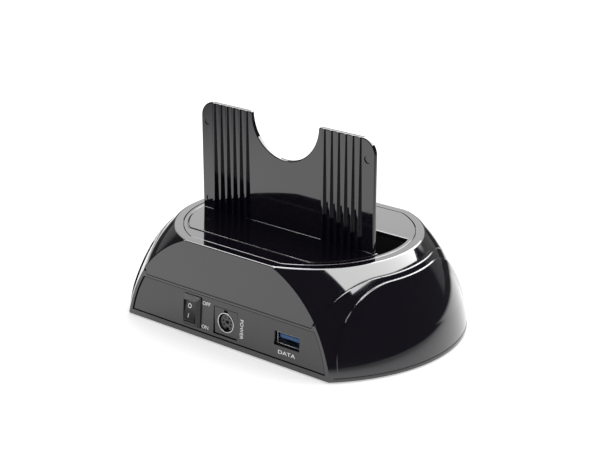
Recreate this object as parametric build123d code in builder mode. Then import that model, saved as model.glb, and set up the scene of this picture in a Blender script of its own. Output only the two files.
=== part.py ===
from build123d import *
import os
from math import cos, radians, sin, sqrt

os.makedirs("parts", exist_ok=True)

# Drive docking station with an upright backrest, in millimetres.
# X runs along the long side, +Y points at the rear face with the sockets, +Z is up.
# The origin is at the middle of the footprint, on the surface that the feet stand on.

# Housing
foot_stand_out = 0.8
body_height = 45.3
base_depth = 108.8
face_draw = 2.2
end_centre = 4.2
rim_bulge = 4.35
end_spread = 22.4
dome_sagitta = 4.3
wall = 2.2
corner_radius = 1.2
corner_share = 0.9
rim_edge = 0.7
lip_height = 1.5
seam_height = 22.2
seam_start = 6.35
seam_rise_share = 2.5
seam_gap = 0.2
overrun = 1.0
tolerance = 0.01

# Fender over each end: the parting arch and the second step under it
arch_drop = 5.2
arch_radius = 42.3
arch_shoulder = 34.4
fender_stand_out = 1.2
fender_sagitta = 3.6
fender_edge = 0.6
step_drop = 2.6
step_radius = 34.8
step_shoulder = 38.4
step_base_inset = 0.4
step_stand_out = 0.9
step_edge = 1.0

# Deck on top: insert, backrest foot and the drive slot between them
deck_margin = 4.35
deck_edge = 5.4
insert_thickness = 2.2
insert_gap = 0.3
insert_edge = 0.35
deck_thickness = 2.0
slot_margin = 2.2
slot_front = 17.7
slot_rear = 8.6
foot_margin = 8.8
foot_gap = 0.5
foot_rise = 0.4
peg_radius = 1.3
peg_gap = 0.1
peg_x = 20.0
peg_front_inset = 4.8
peg_rear_inset = 4.2
peg_length = 1.7

# Backrest plate
plate_margin = 2.45
plate_height = 54.6
plate_thickness = 2.2
plate_lean = 1.7
plate_corner = 7.5
notch_radius = 20.0
notch_lead = 1.2
plate_edge = 0.4
rib_count = 6
rib_margin = 8.3
rib_pitch = 4.05
rib_width = 1.1
rib_top_depth = 0.7
rib_foot_depth = 1.8
mark_radius = 2.4
mark_depth = 0.2
mark_inset = 3.55
mark_top = 9.8
mark_foot = 5.2
plate_root = 1.0
backrest_screw_x = 30.0
backrest_screw_near = 20.0
backrest_screw_margin = 6.0
backrest_bore_depth = 2.0

# Drive well
well_wall = 1.6
well_floor = 1.5
well_floor_height = 8.2
well_flange = 5.2
well_flange_thickness = 1.5
well_gap = 0.3
well_flange_half = 38.0

# Bottom plate
upstand_gap = 0.25
upstand_height = 1.6
upstand_thickness = 1.6
post_angle = 31.0
post_inset = 1.3
post_radius = 3.2
post_bore = 1.3
post_bore_depth = 13.0
boss_radius = 4.6
boss_height = 3.8
standoff_radius = 3.0
standoff_bore = 1.1
standoff_floor = 0.6
case_seat_share = 0.45

# Rubber feet
pad_radius = 5.0
pad_thickness = 1.5
pad_gap = 0.2
pad_angle = 32.8
pad_inset = 12.6

# Circuit board
board_top = 4.5
board_thickness = 1.6
board_gap = 0.73
board_front_inset = 10.4
board_rear_inset = 4.6
board_tab_depth = 15.3
board_tab_reach = 3.5
board_corner = 2.0
board_hole_side = 3.5
board_hole_front_margin = 4.0
board_hole_rear_margin = 16.8
board_hole_radius = 1.45

# Screws
case_screw_radius = 1.25
case_screw_length = 12.0
case_head_radius = 2.8
case_head_height = 1.9
case_head_gap = 0.3
case_shank_gap = 0.45
small_screw_radius = 1.0
small_head_radius = 2.1
small_head_height = 1.4
small_bore_gap = 0.1
board_screw_length = 3.6
well_screw_length = 3.3
well_screw_x = 32.0
backrest_screw_length = 3.8
recess_share = 0.55
recess_width_share = 0.16
recess_length_share = 0.62

# Rear panel
panel_inset = 1.85
panel_gap = 0.45
panel_low = 2.9
panel_high = 20.7
panel_setback = 0.5
flange_thickness = 1.5
flange_high = 24.0
flange_gap = 0.3

# Rocker switch
switch_x = 20.4
switch_height = 11.8
bezel_width = 10.4
bezel_height = 15.2
bezel_rise = 1.9
bezel_slope_x = 1.3
bezel_slope_y = 2.1
switch_window_width = 7.4
switch_window_height = 10.6
switch_body_width = 8.6
switch_body_height = 12.6
switch_body_depth = 13.0
switch_floor = 3.0
switch_cut_gap = 0.3
rocker_width = 6.8
rocker_length = 9.6
rocker_crown = 1.75
rocker_dip = 0.35
rocker_skirt = 1.3
rocker_hub_width = 3.4
rocker_hub_depth = 5.0
rocker_pivot = 0.2
rocker_swing = 11.0
rocker_edge = 0.3
pivot_radius = 0.8
pivot_gap = 0.05
pivot_reach = 0.8
pivot_end_gap = 0.1
tab_width = 4.8
tab_thickness = 0.8
tab_inside = 2.0
tab_outside = 6.0
tab_offset = 3.6
tab_gap = 0.05
lead_radius = 0.65
lead_bend = 1.8
lead_run_low = 1.0
lead_run_high = 4.0

# Power socket
socket_width = 14.0
socket_height = 13.0
socket_depth = 12.4
socket_x = 0.0
socket_axis_height = 11.0
socket_inset = 1.45
socket_cut_gap = 0.3
socket_well_depth = 9.6
shield_radius = 4.85
shield_wall = 0.35
shield_stand_out = 0.25
core_radius = 3.9
core_setback = 0.9
core_key_width = 2.0
core_key_height = 1.5
core_slot_width = 2.0
core_slot_height = 1.5
core_hole_radius = 0.45
core_hole_circle = 2.45
core_hole_depth = 3.0
core_hole_angles = (62, 118, 10, 170, 325, 215)
notch_width = 2.4
notch_height = 1.3
notch_depth = 1.0

# Data socket
usb_inset = 9.6
usb_height = 12.3
usb_cut_width = 14.6
usb_cut_height = 6.7
usb_shell_width = 13.1
usb_shell_height = 5.7
usb_shell_wall = 0.3
usb_shell_depth = 13.6
usb_setback = 1.1
usb_back = 3.2
usb_tail = 2.2
tongue_width = 11.1
tongue_thickness = 1.85
tongue_drop = 0.75
tongue_setback = 0.8
usb_pad_count = 4
usb_pad_pitch = 2.3
usb_pad_width = 1.1
usb_pad_length = 6.0
usb_pad_thickness = 0.15

# Drive socket on the board
sata_x = 20.7
sata_length = 42.7
sata_thickness = 5.2
sata_height = 8.8
sata_offset = 3.7
sata_gap = 0.3
sata_slot = 2.0
sata_slot_depth = 6.0
sata_data_length = 10.4
sata_power_length = 20.8
sata_bridge = 3.4
sata_key = 1.2
sata_key_width = 1.6
sata_pitch = 1.27
sata_data_count = 7
sata_power_count = 15
pin_width = 0.6
pin_thickness = 0.25
pin_length = 5.0

# Small parts on the board, each with its place and its size
chip_size = 9.0
chip_thickness = 1.2
chip_x = -14.0
chip_setback = 22.8
memory_length = 5.2
memory_width = 4.0
memory_thickness = 1.5
memory_x = -1.0
memory_setback = 22.8
crystal_length = 11.0
crystal_width = 4.6
crystal_height = 3.4
crystal_x = -28.0
crystal_setback = 25.8
coil_size = 7.0
coil_height = 3.6
coil_corner = 1.4
coil_x = 11.0
coil_setback = 25.8
can_radius = 3.15
can_height = 7.6
can_groove = 0.25
can_groove_height = 1.2
can_x = 7.0
can_setback = 15.8
regulator_length = 6.6
regulator_width = 6.1
regulator_thickness = 2.3
regulator_x = 32.0
regulator_setback = 25.8
chip_edge = 0.25

# Status light at the front
led_height = 3.4
led_block_width = 4.4
led_block_depth = 4.0
led_block_height = 5.4
led_radius = 1.5
led_reach = 3.0
window_radius = 1.6
window_gap = 0.1
window_led_gap = 0.3

# Plan of the housing, its deck and its backrest, from the sizes above
top_depth = base_depth - 2 * face_draw
rim_radius = top_depth / 2 + rim_bulge
base_radius = rim_radius + end_spread
fender_radius = rim_radius + fender_stand_out
seam_half_length = rim_radius - seam_start
arch_flat = base_depth / 2 - arch_shoulder
step_flat = base_depth / 2 - step_shoulder
insert_radius = rim_radius - deck_margin
insert_half_depth = top_depth / 2 - deck_edge
slot_radius = insert_radius - slot_margin
foot_rear = insert_half_depth - foot_margin
peg_front_y = insert_half_depth - peg_front_inset
peg_rear_y = insert_half_depth - peg_rear_inset
plate_half_width = end_centre + slot_radius - plate_margin
rib_first = plate_half_width - rib_margin - (rib_count - 1) * rib_pitch
mark_x = plate_half_width - mark_inset
backrest_screw_far = foot_rear - backrest_screw_margin

# Heights of the main planes
base_z = foot_stand_out
lip_z = base_z + lip_height
seam_z = base_z + seam_height
top_z = base_z + body_height
recess_z = top_z - insert_thickness
deck_z = recess_z - deck_thickness
arch_z = top_z - arch_drop
step_z = arch_z - step_drop
board_z = base_z + board_top
boss_z = base_z + boss_height

# The rear face leans in by this much for each millimetre of height
face_slope = face_draw / body_height

# The raised end of the rocker is the rearmost point, so the housing stands that much forward
rocker_half = rocker_length / 2
rocker_reach = (rocker_pivot + rocker_half * sin(radians(rocker_swing))
                + (rocker_crown - rocker_pivot) * cos(radians(rocker_swing)))
rear_overhang = rocker_reach - (switch_height - rocker_half) * face_slope
body_y = -rear_overhang / 2


def half_depth(z):
    """Half the depth of the housing at height z."""
    return base_depth / 2 - face_slope * (z - base_z)


def level(z):
    """Horizontal plane at height z, centred on the housing."""
    return Plane(origin=(0, body_y, z), x_dir=(1, 0, 0), z_dir=(0, 0, 1))


def rear_plane(x, height):
    """Plane on the rear face, with local x to the viewer's right and local y up the face."""
    z = base_z + height
    origin = (x, body_y + half_depth(z), z)
    return Plane(origin=origin, x_dir=(-1, 0, 0), z_dir=(0, 1, face_slope))


front = Plane(origin=(0, body_y, 0), x_dir=(1, 0, 0), z_dir=(0, -1, 0))
side = Plane(origin=(0, body_y, 0), x_dir=(0, 1, 0), z_dir=(1, 0, 0))


def housing_block(foot_radius, crown_radius, sagitta, inset, face_inset, low, high, edge):
    """Solid of the housing's form between two heights, its ends and its flat faces set in."""
    rise = body_height
    run = foot_radius - crown_radius
    chord = sqrt(rise ** 2 + run ** 2)
    arc_radius = chord ** 2 / (8 * sagitta) + sagitta / 2
    setback = arc_radius - sagitta
    centre_x = (foot_radius + crown_radius) / 2 - setback * rise / chord
    centre_z = base_z + rise / 2 - setback * run / chord

    def reach(z):
        return end_centre + centre_x + sqrt((arc_radius - inset) ** 2 - (z - centre_z) ** 2)

    middle = (low + high) / 2
    with BuildPart() as block:
        with BuildSketch(front):
            with BuildLine():
                Polyline((reach(high), high), (end_centre, high), (end_centre, low), (reach(low), low))
                ThreePointArc((reach(low), low), (reach(middle), middle), (reach(high), high))
            make_face()
        revolve(axis=Axis((end_centre, body_y, 0), (0, 0, 1)))
        split(bisect_by=Plane.YZ, keep=Keep.TOP)
        mirror(about=Plane.YZ)
        with BuildSketch(side):
            with BuildLine():
                Polyline((-half_depth(low) + face_inset, low), (half_depth(low) - face_inset, low),
                         (half_depth(high) - face_inset, high), (-half_depth(high) + face_inset, high),
                         close=True)
            make_face()
        extrude(amount=base_radius + end_centre + overrun, both=True, mode=Mode.INTERSECT)
        if edge > 0:
            upright = block.edges().filter_by(GeomType.LINE, reverse=True).filter_by(
                lambda e: abs(e.position_at(1).Z - e.position_at(0).Z) > (high - low) * corner_share)
            fillet(upright, edge)
    return block.part


def arch_sketch(plane, height, radius, flat, low, spread):
    """Area under an arch with a flat top and round shoulders, in the housing's side view."""
    centre_z = height - radius
    reach = flat + radius + spread
    with BuildSketch(plane) as area:
        with Locations((0, centre_z)):
            SlotCenterToCenter(2 * flat, 2 * (radius + spread))
        with Locations((0, low + (centre_z - low) / 2)):
            Rectangle(2 * reach, abs(centre_z - low))
        with Locations((0, low - reach)):
            Rectangle(3 * reach, 2 * reach, mode=Mode.SUBTRACT)
    return area.sketch


def deck_outline(radius, rear, forward):
    """Plan of a deck piece: round ends about the two end centres, straight front and rear edges."""
    rear_x = end_centre + sqrt(radius ** 2 - rear ** 2)
    front_x = end_centre + sqrt(radius ** 2 - forward ** 2)
    tip = end_centre + radius
    with BuildSketch() as outline:
        with BuildLine():
            Line((-rear_x, rear), (rear_x, rear))
            ThreePointArc((rear_x, rear), (tip, 0), (front_x, -forward))
            Line((front_x, -forward), (-front_x, -forward))
            ThreePointArc((-front_x, -forward), (-tip, 0), (-rear_x, rear))
        make_face()
    return outline.sketch


def slot_outline(radius, rear, forward):
    """Plan of a deck piece whose rear edge lies on either side of the end centres."""
    rear_x = end_centre + sqrt(radius ** 2 - rear ** 2)
    front_x = end_centre + sqrt(radius ** 2 - forward ** 2)
    middle = (rear + forward) / 2
    middle_x = end_centre + sqrt(radius ** 2 - middle ** 2)
    with BuildSketch() as outline:
        with BuildLine():
            Line((-rear_x, rear), (rear_x, rear))
            ThreePointArc((rear_x, rear), (middle_x, middle), (front_x, forward))
            Line((front_x, forward), (-front_x, forward))
            ThreePointArc((-front_x, forward), (-middle_x, middle), (-rear_x, rear))
        make_face()
    return outline.sketch


# Forms shared by the housing pieces
inner_block = housing_block(base_radius, rim_radius, dome_sagitta, wall, wall, lip_z - overrun, deck_z, 0)
fender_block = housing_block(base_radius, fender_radius, fender_sagitta, 0, 0, lip_z, arch_z, corner_radius)
step_block = housing_block(base_radius - step_base_inset, fender_radius + step_stand_out, fender_sagitta,
                           0, 0, lip_z, step_z, 0)
cover_block = housing_block(base_radius, rim_radius, dome_sagitta, 0, 0, seam_z, top_z, corner_radius)
lip_block = housing_block(base_radius, fender_radius, fender_sagitta, 0, 0, base_z, lip_z, corner_radius)
upstand_out = wall + upstand_gap
upstand_in = upstand_out + upstand_thickness
upstand_block = housing_block(base_radius, rim_radius, dome_sagitta, upstand_out, upstand_out, lip_z,
                              lip_z + upstand_height, 0)
upstand_core = housing_block(base_radius, rim_radius, dome_sagitta, upstand_in, upstand_in, lip_z,
                             lip_z + upstand_height, 0)
panel_block = housing_block(base_radius, rim_radius, dome_sagitta, panel_inset, 0, base_z + panel_low,
                            base_z + panel_high, 0)
opening_block = housing_block(base_radius, rim_radius, dome_sagitta, panel_inset - panel_gap, 0,
                              base_z + panel_low - panel_gap, base_z + panel_high + panel_gap, 0)
flange_block = housing_block(base_radius, rim_radius, dome_sagitta, wall + flange_gap, wall,
                             lip_z + upstand_height + flange_gap, base_z + flange_high, 0)
panel_face = panel_block.faces().sort_by(Axis.Y)[-1]
opening_face = opening_block.faces().sort_by(Axis.Y)[-1]
flange_face = flange_block.faces().sort_by(Axis.Y)[-1]
arch_area = arch_sketch(side, arch_z, arch_radius, arch_flat, lip_z, 0)
arch_cut_area = arch_sketch(side, arch_z, arch_radius, arch_flat, lip_z, seam_gap)
step_area = arch_sketch(side, step_z, step_radius, step_flat, lip_z, 0)
half_length = base_radius + end_centre + overrun


# Places of the repeated pieces, from the middle of the housing's plan
post_reach = insert_radius - post_inset
post_x = end_centre + post_reach * cos(radians(post_angle))
post_y = post_reach * sin(radians(post_angle))
post_places = [(sx * post_x, sy * post_y) for sx in (-1, 1) for sy in (-1, 1)]
pad_reach = base_radius - pad_inset
pad_x = end_centre + pad_reach * cos(radians(pad_angle))
pad_y = pad_reach * sin(radians(pad_angle))
pad_places = [(sx * pad_x, sy * pad_y) for sx in (-1, 1) for sy in (-1, 1)]
board_half_width = post_x - boss_radius - board_gap
board_tab_half = board_half_width + board_tab_reach
board_front = base_depth / 2 - board_front_inset
board_rear = base_depth / 2 - board_rear_inset
board_tab_front = board_rear - board_tab_depth
board_hole_x = board_half_width - board_hole_side
board_hole_front = board_front - board_hole_front_margin
board_hole_rear = board_rear - board_hole_rear_margin
board_holes = [(sx * board_hole_x, y) for sx in (-1, 1) for y in (-board_hole_front, board_hole_rear)]
pad_seat = pad_thickness - foot_stand_out
well_screw_front = -slot_front - well_wall - well_flange / 2
well_screw_rear = slot_rear + well_wall + well_flange / 2
well_screw_places = [(sx * well_screw_x, y) for sx in (-1, 1) for y in (well_screw_front, well_screw_rear)]
backrest_screw_places = [(sx * backrest_screw_x, y) for sx in (-1, 1)
                         for y in (backrest_screw_near, backrest_screw_far)]
peg_places = [(sx * peg_x, y) for sx in (-1, 1) for y in (-peg_front_y, peg_rear_y)]

# Bottom plate with its lip, the upstand inside the shell, screw bosses and board standoffs
with BuildPart() as bottom_plate:
    add(lip_block)
    add(upstand_block)
    add(upstand_core, mode=Mode.SUBTRACT)
    with BuildSketch(level(lip_z)):
        with Locations(*post_places):
            Circle(boss_radius)
    extrude(amount=boss_z - lip_z)
    with BuildSketch(level(lip_z)):
        with Locations(*board_holes):
            Circle(standoff_radius)
    extrude(amount=board_z - board_thickness - lip_z)
    with BuildSketch(level(boss_z)):
        with Locations(*post_places):
            Circle(case_screw_radius + case_shank_gap)
    extrude(amount=-body_height, mode=Mode.SUBTRACT)
    with BuildSketch(level(boss_z - case_seat_share * boss_height)):
        with Locations(*post_places):
            Circle(case_head_radius + case_head_gap)
    extrude(amount=-body_height, mode=Mode.SUBTRACT)
    with BuildSketch(level(board_z)):
        with Locations(*board_holes):
            Circle(standoff_bore)
    extrude(amount=base_z + standoff_floor - board_z, mode=Mode.SUBTRACT)
    with BuildSketch(level(base_z + pad_seat)):
        with Locations(*pad_places):
            Circle(pad_radius + pad_gap)
    extrude(amount=-body_height, mode=Mode.SUBTRACT)
bottom_plate.part.label = "bottom_plate"
export_step(bottom_plate.part, "parts/bottom_plate.step")

# Lower shell: the ring wall, and the fender over each end with its second step
with BuildPart() as fender_form:
    add(fender_block)
    extrude(to_extrude=arch_area, amount=half_length, both=True, mode=Mode.INTERSECT)
    crest = fender_form.edges().filter_by(lambda e: e.center().Z > seam_z + seam_gap
                                          and abs(e.center().X) > seam_half_length)
    fillet(crest, fender_edge)

with BuildPart() as step_form:
    add(step_block)
    extrude(to_extrude=step_area, amount=half_length, both=True, mode=Mode.INTERSECT)
    crest = step_form.edges().filter_by(lambda e: e.center().Z > lip_z + tolerance
                                        and abs(e.center().X) > seam_half_length)
    chamfer(crest, step_edge)

cut_top_x = seam_half_length + (top_z - seam_z) / seam_rise_share
with BuildPart() as lower_shell:
    add(fender_form.part)
    add(step_form.part)
    with BuildSketch(front):
        with BuildLine():
            Polyline((-seam_half_length, seam_z), (seam_half_length, seam_z),
                     (cut_top_x, top_z), (-cut_top_x, top_z), close=True)
        make_face()
    extrude(amount=base_depth, both=True, mode=Mode.SUBTRACT)
    add(inner_block, mode=Mode.SUBTRACT)
    extrude(to_extrude=opening_face, amount=wall + overrun, both=True, mode=Mode.SUBTRACT)
    with BuildSketch(front):
        with Locations((0, board_z + led_height)):
            Circle(window_radius + window_gap)
    extrude(amount=base_depth, mode=Mode.SUBTRACT)
lower_shell.part.label = "lower_shell"
export_step(lower_shell.part, "parts/lower_shell.step")

# Top cover: the dome above the seam, a recessed deck, and four long screw posts under it
with BuildPart() as end_cut:
    extrude(to_extrude=arch_cut_area, amount=half_length, both=True)
    with BuildSketch(front):
        with BuildLine():
            Polyline((-seam_half_length + seam_gap, 0), (seam_half_length - seam_gap, 0),
                     (seam_half_length - seam_gap, seam_z),
                     (cut_top_x - seam_gap, top_z), (-cut_top_x + seam_gap, top_z),
                     (-seam_half_length + seam_gap, seam_z), close=True)
        make_face()
    extrude(amount=base_depth, both=True, mode=Mode.SUBTRACT)

with BuildPart() as top_cover:
    add(cover_block)
    rim = top_cover.faces().sort_by(Axis.Z)[-1].outer_wire().edges()
    chamfer(rim, rim_edge)
    add(end_cut.part, mode=Mode.SUBTRACT)
    with BuildSketch(level(seam_z)):
        Rectangle(2 * half_length, base_depth)
    extrude(amount=seam_gap, mode=Mode.SUBTRACT)
    add(inner_block, mode=Mode.SUBTRACT)
    with BuildSketch(level(top_z)):
        add(deck_outline(insert_radius + insert_gap, insert_half_depth + insert_gap,
                         insert_half_depth + insert_gap))
    extrude(amount=-insert_thickness, mode=Mode.SUBTRACT)
    with BuildSketch(level(deck_z)):
        with Locations(*post_places):
            Circle(post_radius)
    extrude(amount=boss_z - deck_z)
    with BuildSketch(level(boss_z)):
        with Locations(*post_places):
            Circle(post_bore)
    extrude(amount=post_bore_depth, mode=Mode.SUBTRACT)
    with BuildSketch(level(recess_z)):
        add(slot_outline(slot_radius + well_wall + well_gap, slot_rear + well_wall + well_gap,
                         -slot_front - well_wall - well_gap))
        with Locations(*peg_places):
            Circle(peg_radius + peg_gap)
        with Locations(*well_screw_places, *backrest_screw_places):
            Circle(small_screw_radius + small_bore_gap)
    extrude(amount=-deck_thickness, mode=Mode.SUBTRACT)
top_cover.part.label = "top_cover"
export_step(top_cover.part, "parts/top_cover.step")

# Insert: flat plate around the slot and the backrest's foot
with BuildPart() as top_insert:
    with BuildSketch(level(recess_z)):
        add(deck_outline(insert_radius, insert_half_depth, insert_half_depth))
        add(slot_outline(slot_radius, foot_rear + foot_gap, -slot_front), mode=Mode.SUBTRACT)
    extrude(amount=insert_thickness)
    chamfer(top_insert.faces().sort_by(Axis.Z)[-1].edges(), insert_edge)
    with BuildSketch(level(recess_z)):
        with Locations(*peg_places):
            Circle(peg_radius)
    extrude(amount=-peg_length)
top_insert.part.label = "top_insert"
export_step(top_insert.part, "parts/top_insert.step")

# Backrest: a foot on the deck and a leaning plate with thin ribs on its rear side
lean = radians(plate_lean)
plate_plane = Plane(origin=(0, body_y + slot_rear + plate_thickness, top_z), x_dir=(-1, 0, 0),
                    z_dir=(0, cos(lean), -sin(lean)))
rib_places = [(sx * (rib_first + rib_pitch * i), plate_height / 2) for sx in (-1, 1)
              for i in range(rib_count)]
foot_thickness = insert_thickness + foot_rise

with BuildPart() as rib_set:
    with BuildSketch(plate_plane):
        with Locations(*rib_places):
            Rectangle(rib_width, plate_height)
    extrude(amount=rib_foot_depth)
    with BuildSketch(Plane(origin=plate_plane.origin, x_dir=plate_plane.y_dir, z_dir=(-1, 0, 0))):
        with BuildLine():
            Polyline((0, rib_foot_depth), (plate_height, rib_top_depth),
                     (plate_height + overrun, rib_top_depth), (plate_height + overrun, plate_height),
                     (0, plate_height), close=True)
        make_face()
    extrude(amount=plate_half_width, both=True, mode=Mode.SUBTRACT)

with BuildPart() as backrest:
    with BuildSketch(plate_plane):
        with Locations((0, (plate_height - plate_root) / 2)):
            Rectangle(2 * plate_half_width, plate_height + plate_root)
    extrude(amount=-plate_thickness)
    tall = backrest.edges().filter_by(Axis.Y, tolerance=2 * plate_lean).group_by(Axis.Z)[-1]
    fillet(tall, plate_corner)
    with BuildSketch(plate_plane):
        with Locations((0, plate_height)):
            Circle(notch_radius)
    extrude(amount=-plate_height, mode=Mode.SUBTRACT)
    lead = backrest.edges().filter_by(lambda e: e.center().Z > top_z + plate_height - notch_lead
                                      and abs(abs(e.center().X) - notch_radius) < notch_lead
                                      and e.length < 2 * plate_thickness)
    fillet(lead, notch_lead)
    rounded = backrest.edges().filter_by(lambda e: e.center().Z > top_z + plate_height - notch_radius
                                         - notch_lead and e.length > 2 * plate_thickness)
    chamfer(rounded, plate_edge)
    add(rib_set.part)
    with BuildSketch(plate_plane):
        with Locations((-mark_x, plate_height - mark_top), (mark_x, plate_height - mark_top),
                       (-mark_x, mark_foot), (mark_x, mark_foot)):
            Circle(mark_radius)
    extrude(amount=-mark_depth, mode=Mode.SUBTRACT)
    with BuildSketch(level(recess_z)):
        add(slot_outline(slot_radius - foot_gap, foot_rear, slot_rear))
    extrude(amount=foot_thickness)
    with BuildSketch(level(recess_z)):
        with Locations(*backrest_screw_places):
            Circle(small_screw_radius + small_bore_gap)
    extrude(amount=backrest_bore_depth, mode=Mode.SUBTRACT)
backrest.part.label = "backrest"
export_step(backrest.part, "parts/backrest.step")

# Drive well: a pocket through the deck, screwed to it from below by two flanges
well_floor_z = base_z + well_floor_height
sata_y = slot_rear - sata_offset
with BuildPart() as drive_well:
    with BuildSketch(level(recess_z)):
        add(slot_outline(slot_radius + well_wall, slot_rear + well_wall, -slot_front - well_wall))
    extrude(amount=well_floor_z - well_floor - recess_z)
    with BuildSketch(level(recess_z)):
        add(slot_outline(slot_radius, slot_rear, -slot_front))
    extrude(amount=well_floor_z - recess_z, mode=Mode.SUBTRACT)
    with BuildSketch(level(deck_z)):
        with Locations((0, well_screw_front), (0, well_screw_rear)):
            Rectangle(2 * well_flange_half, well_flange)
    extrude(amount=-well_flange_thickness)
    with BuildSketch(level(deck_z)):
        with Locations(*well_screw_places):
            Circle(small_screw_radius + small_bore_gap)
    extrude(amount=-well_flange_thickness, mode=Mode.SUBTRACT)
    with BuildSketch(level(well_floor_z)):
        with Locations((sata_x, sata_y)):
            Rectangle(sata_length + 2 * sata_gap, sata_thickness + 2 * sata_gap)
    extrude(amount=-well_floor, mode=Mode.SUBTRACT)
drive_well.part.label = "drive_well"
export_step(drive_well.part, "parts/drive_well.step")

# Rear panel: a plate in the opening, with a flange behind the wall
usb_x = usb_inset - board_tab_half
with BuildPart() as io_panel:
    extrude(to_extrude=panel_face, amount=-wall)
    extrude(to_extrude=panel_face, amount=-panel_setback, mode=Mode.SUBTRACT)
    extrude(to_extrude=flange_face, amount=-flange_thickness)
    with BuildSketch(rear_plane(switch_x, switch_height)):
        Rectangle(switch_body_width + 2 * switch_cut_gap, switch_body_height + 2 * switch_cut_gap)
    with BuildSketch(rear_plane(socket_x, socket_axis_height)):
        Rectangle(socket_width + 2 * socket_cut_gap, socket_height + 2 * socket_cut_gap)
    with BuildSketch(rear_plane(usb_x, usb_height)):
        Rectangle(usb_cut_width, usb_cut_height)
    extrude(amount=-(wall + flange_thickness + overrun), mode=Mode.SUBTRACT)
io_panel.part.label = "io_panel"
export_step(io_panel.part, "parts/io_panel.step")

# Rocker switch: housing with a sloped bezel, rocker on two pins, tabs and leads
switch_plane = rear_plane(switch_x, switch_height)
cavity_depth = switch_body_depth - switch_floor
tab_places = [(0, -tab_offset), (0, tab_offset)]
with BuildPart() as switch_housing:
    with BuildSketch(switch_plane.offset(-panel_setback)):
        Rectangle(bezel_width, bezel_height)
    extrude(amount=panel_setback)
    with BuildSketch(switch_plane):
        Rectangle(bezel_width, bezel_height)
    with BuildSketch(switch_plane.offset(bezel_rise)):
        Rectangle(bezel_width - 2 * bezel_slope_x, bezel_height - 2 * bezel_slope_y)
    loft()
    with BuildSketch(switch_plane.offset(-panel_setback)):
        Rectangle(switch_body_width, switch_body_height)
    extrude(amount=panel_setback - switch_body_depth)
    with BuildSketch(switch_plane.offset(bezel_rise)):
        Rectangle(switch_window_width, switch_window_height)
    extrude(amount=-(bezel_rise + cavity_depth), mode=Mode.SUBTRACT)
    with BuildSketch(switch_plane.offset(-cavity_depth)):
        with Locations(*tab_places):
            Rectangle(tab_width + 2 * tab_gap, tab_thickness + 2 * tab_gap)
    extrude(amount=-(switch_floor + overrun), mode=Mode.SUBTRACT)
    pivot_point = switch_plane.offset(rocker_pivot).origin
    with BuildSketch(Plane(origin=pivot_point, x_dir=switch_plane.y_dir, z_dir=(-1, 0, 0))):
        Circle(pivot_radius + pivot_gap)
    extrude(amount=rocker_width / 2 + pivot_reach + pivot_end_gap, both=True, mode=Mode.SUBTRACT)
switch_housing.part.label = "switch_housing"
export_step(switch_housing.part, "parts/switch_housing.step")

swing = radians(rocker_swing)
rocker_plane = Plane(origin=pivot_point, z_dir=(-1, 0, 0),
                     x_dir=switch_plane.y_dir * cos(swing) - switch_plane.z_dir * sin(swing))
crown = rocker_crown - rocker_pivot
with BuildPart() as switch_rocker:
    with BuildSketch(rocker_plane):
        with BuildLine():
            ThreePointArc((-rocker_half, crown), (0, crown - rocker_dip), (rocker_half, crown))
            Polyline((rocker_half, crown), (rocker_half, -rocker_skirt),
                     (rocker_hub_width / 2, -rocker_skirt), (rocker_hub_width / 2, -rocker_hub_depth),
                     (-rocker_hub_width / 2, -rocker_hub_depth), (-rocker_hub_width / 2, -rocker_skirt),
                     (-rocker_half, -rocker_skirt), (-rocker_half, crown))
        make_face()
    extrude(amount=rocker_width / 2, both=True)
    tips = switch_rocker.edges().filter_by(Axis.X).filter_by(
        lambda e: rocker_plane.to_local_coords(e.center()).Y > 0)
    fillet(tips, rocker_edge)
    with BuildSketch(rocker_plane):
        Circle(pivot_radius)
    extrude(amount=rocker_width / 2 + pivot_reach, both=True)
switch_rocker.part.label = "switch_rocker"
export_step(switch_rocker.part, "parts/switch_rocker.step")

tab_end = switch_body_depth + tab_outside
with BuildPart() as switch_terminals:
    with BuildSketch(switch_plane.offset(tab_inside - cavity_depth)):
        with Locations(*tab_places):
            Rectangle(tab_width, tab_thickness)
    extrude(amount=cavity_depth - tab_inside - tab_end)
switch_terminals.part.label = "switch_terminals"
export_step(switch_terminals.part, "parts/switch_terminals.step")

with BuildPart() as switch_leads:
    for offset, run in ((tab_offset, lead_run_high), (-tab_offset, lead_run_low)):
        begin = switch_plane.offset(-tab_end).from_local_coords(Vector(0, offset, 0))
        turn = begin - switch_plane.z_dir * (run + lead_bend)
        end = Vector(turn.X, turn.Y, board_z)
        with BuildLine() as lead_path:
            FilletPolyline(begin, turn, end, radius=lead_bend)
        with BuildSketch(Plane(origin=begin, z_dir=-switch_plane.z_dir)):
            Circle(lead_radius)
        sweep(path=lead_path.line)
switch_leads.part.label = "switch_leads"
export_step(switch_leads.part, "parts/switch_leads.step")


def upright(x, y, height):
    """Vertical plane facing the rear, with local x to the viewer's right."""
    return Plane(origin=(x, body_y + y, base_z + height), x_dir=(-1, 0, 0), z_dir=(0, 1, 0))


# Power socket: block on the board, metal ring and the core with its contact holes
socket_face_y = base_depth / 2 - socket_inset
socket_plane = upright(socket_x, socket_face_y, socket_axis_height)
shield_inner = shield_radius - shield_wall
with BuildPart() as power_socket:
    with BuildSketch(socket_plane):
        Rectangle(socket_width, socket_height)
    extrude(amount=-socket_depth)
    with BuildSketch(socket_plane):
        Circle(shield_radius)
    extrude(amount=-socket_well_depth, mode=Mode.SUBTRACT)
    with BuildSketch(socket_plane):
        with Locations((0, shield_radius + notch_height / 2)):
            Rectangle(notch_width, notch_height)
    extrude(amount=-notch_depth, mode=Mode.SUBTRACT)
power_socket.part.label = "power_socket"
export_step(power_socket.part, "parts/power_socket.step")

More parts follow.
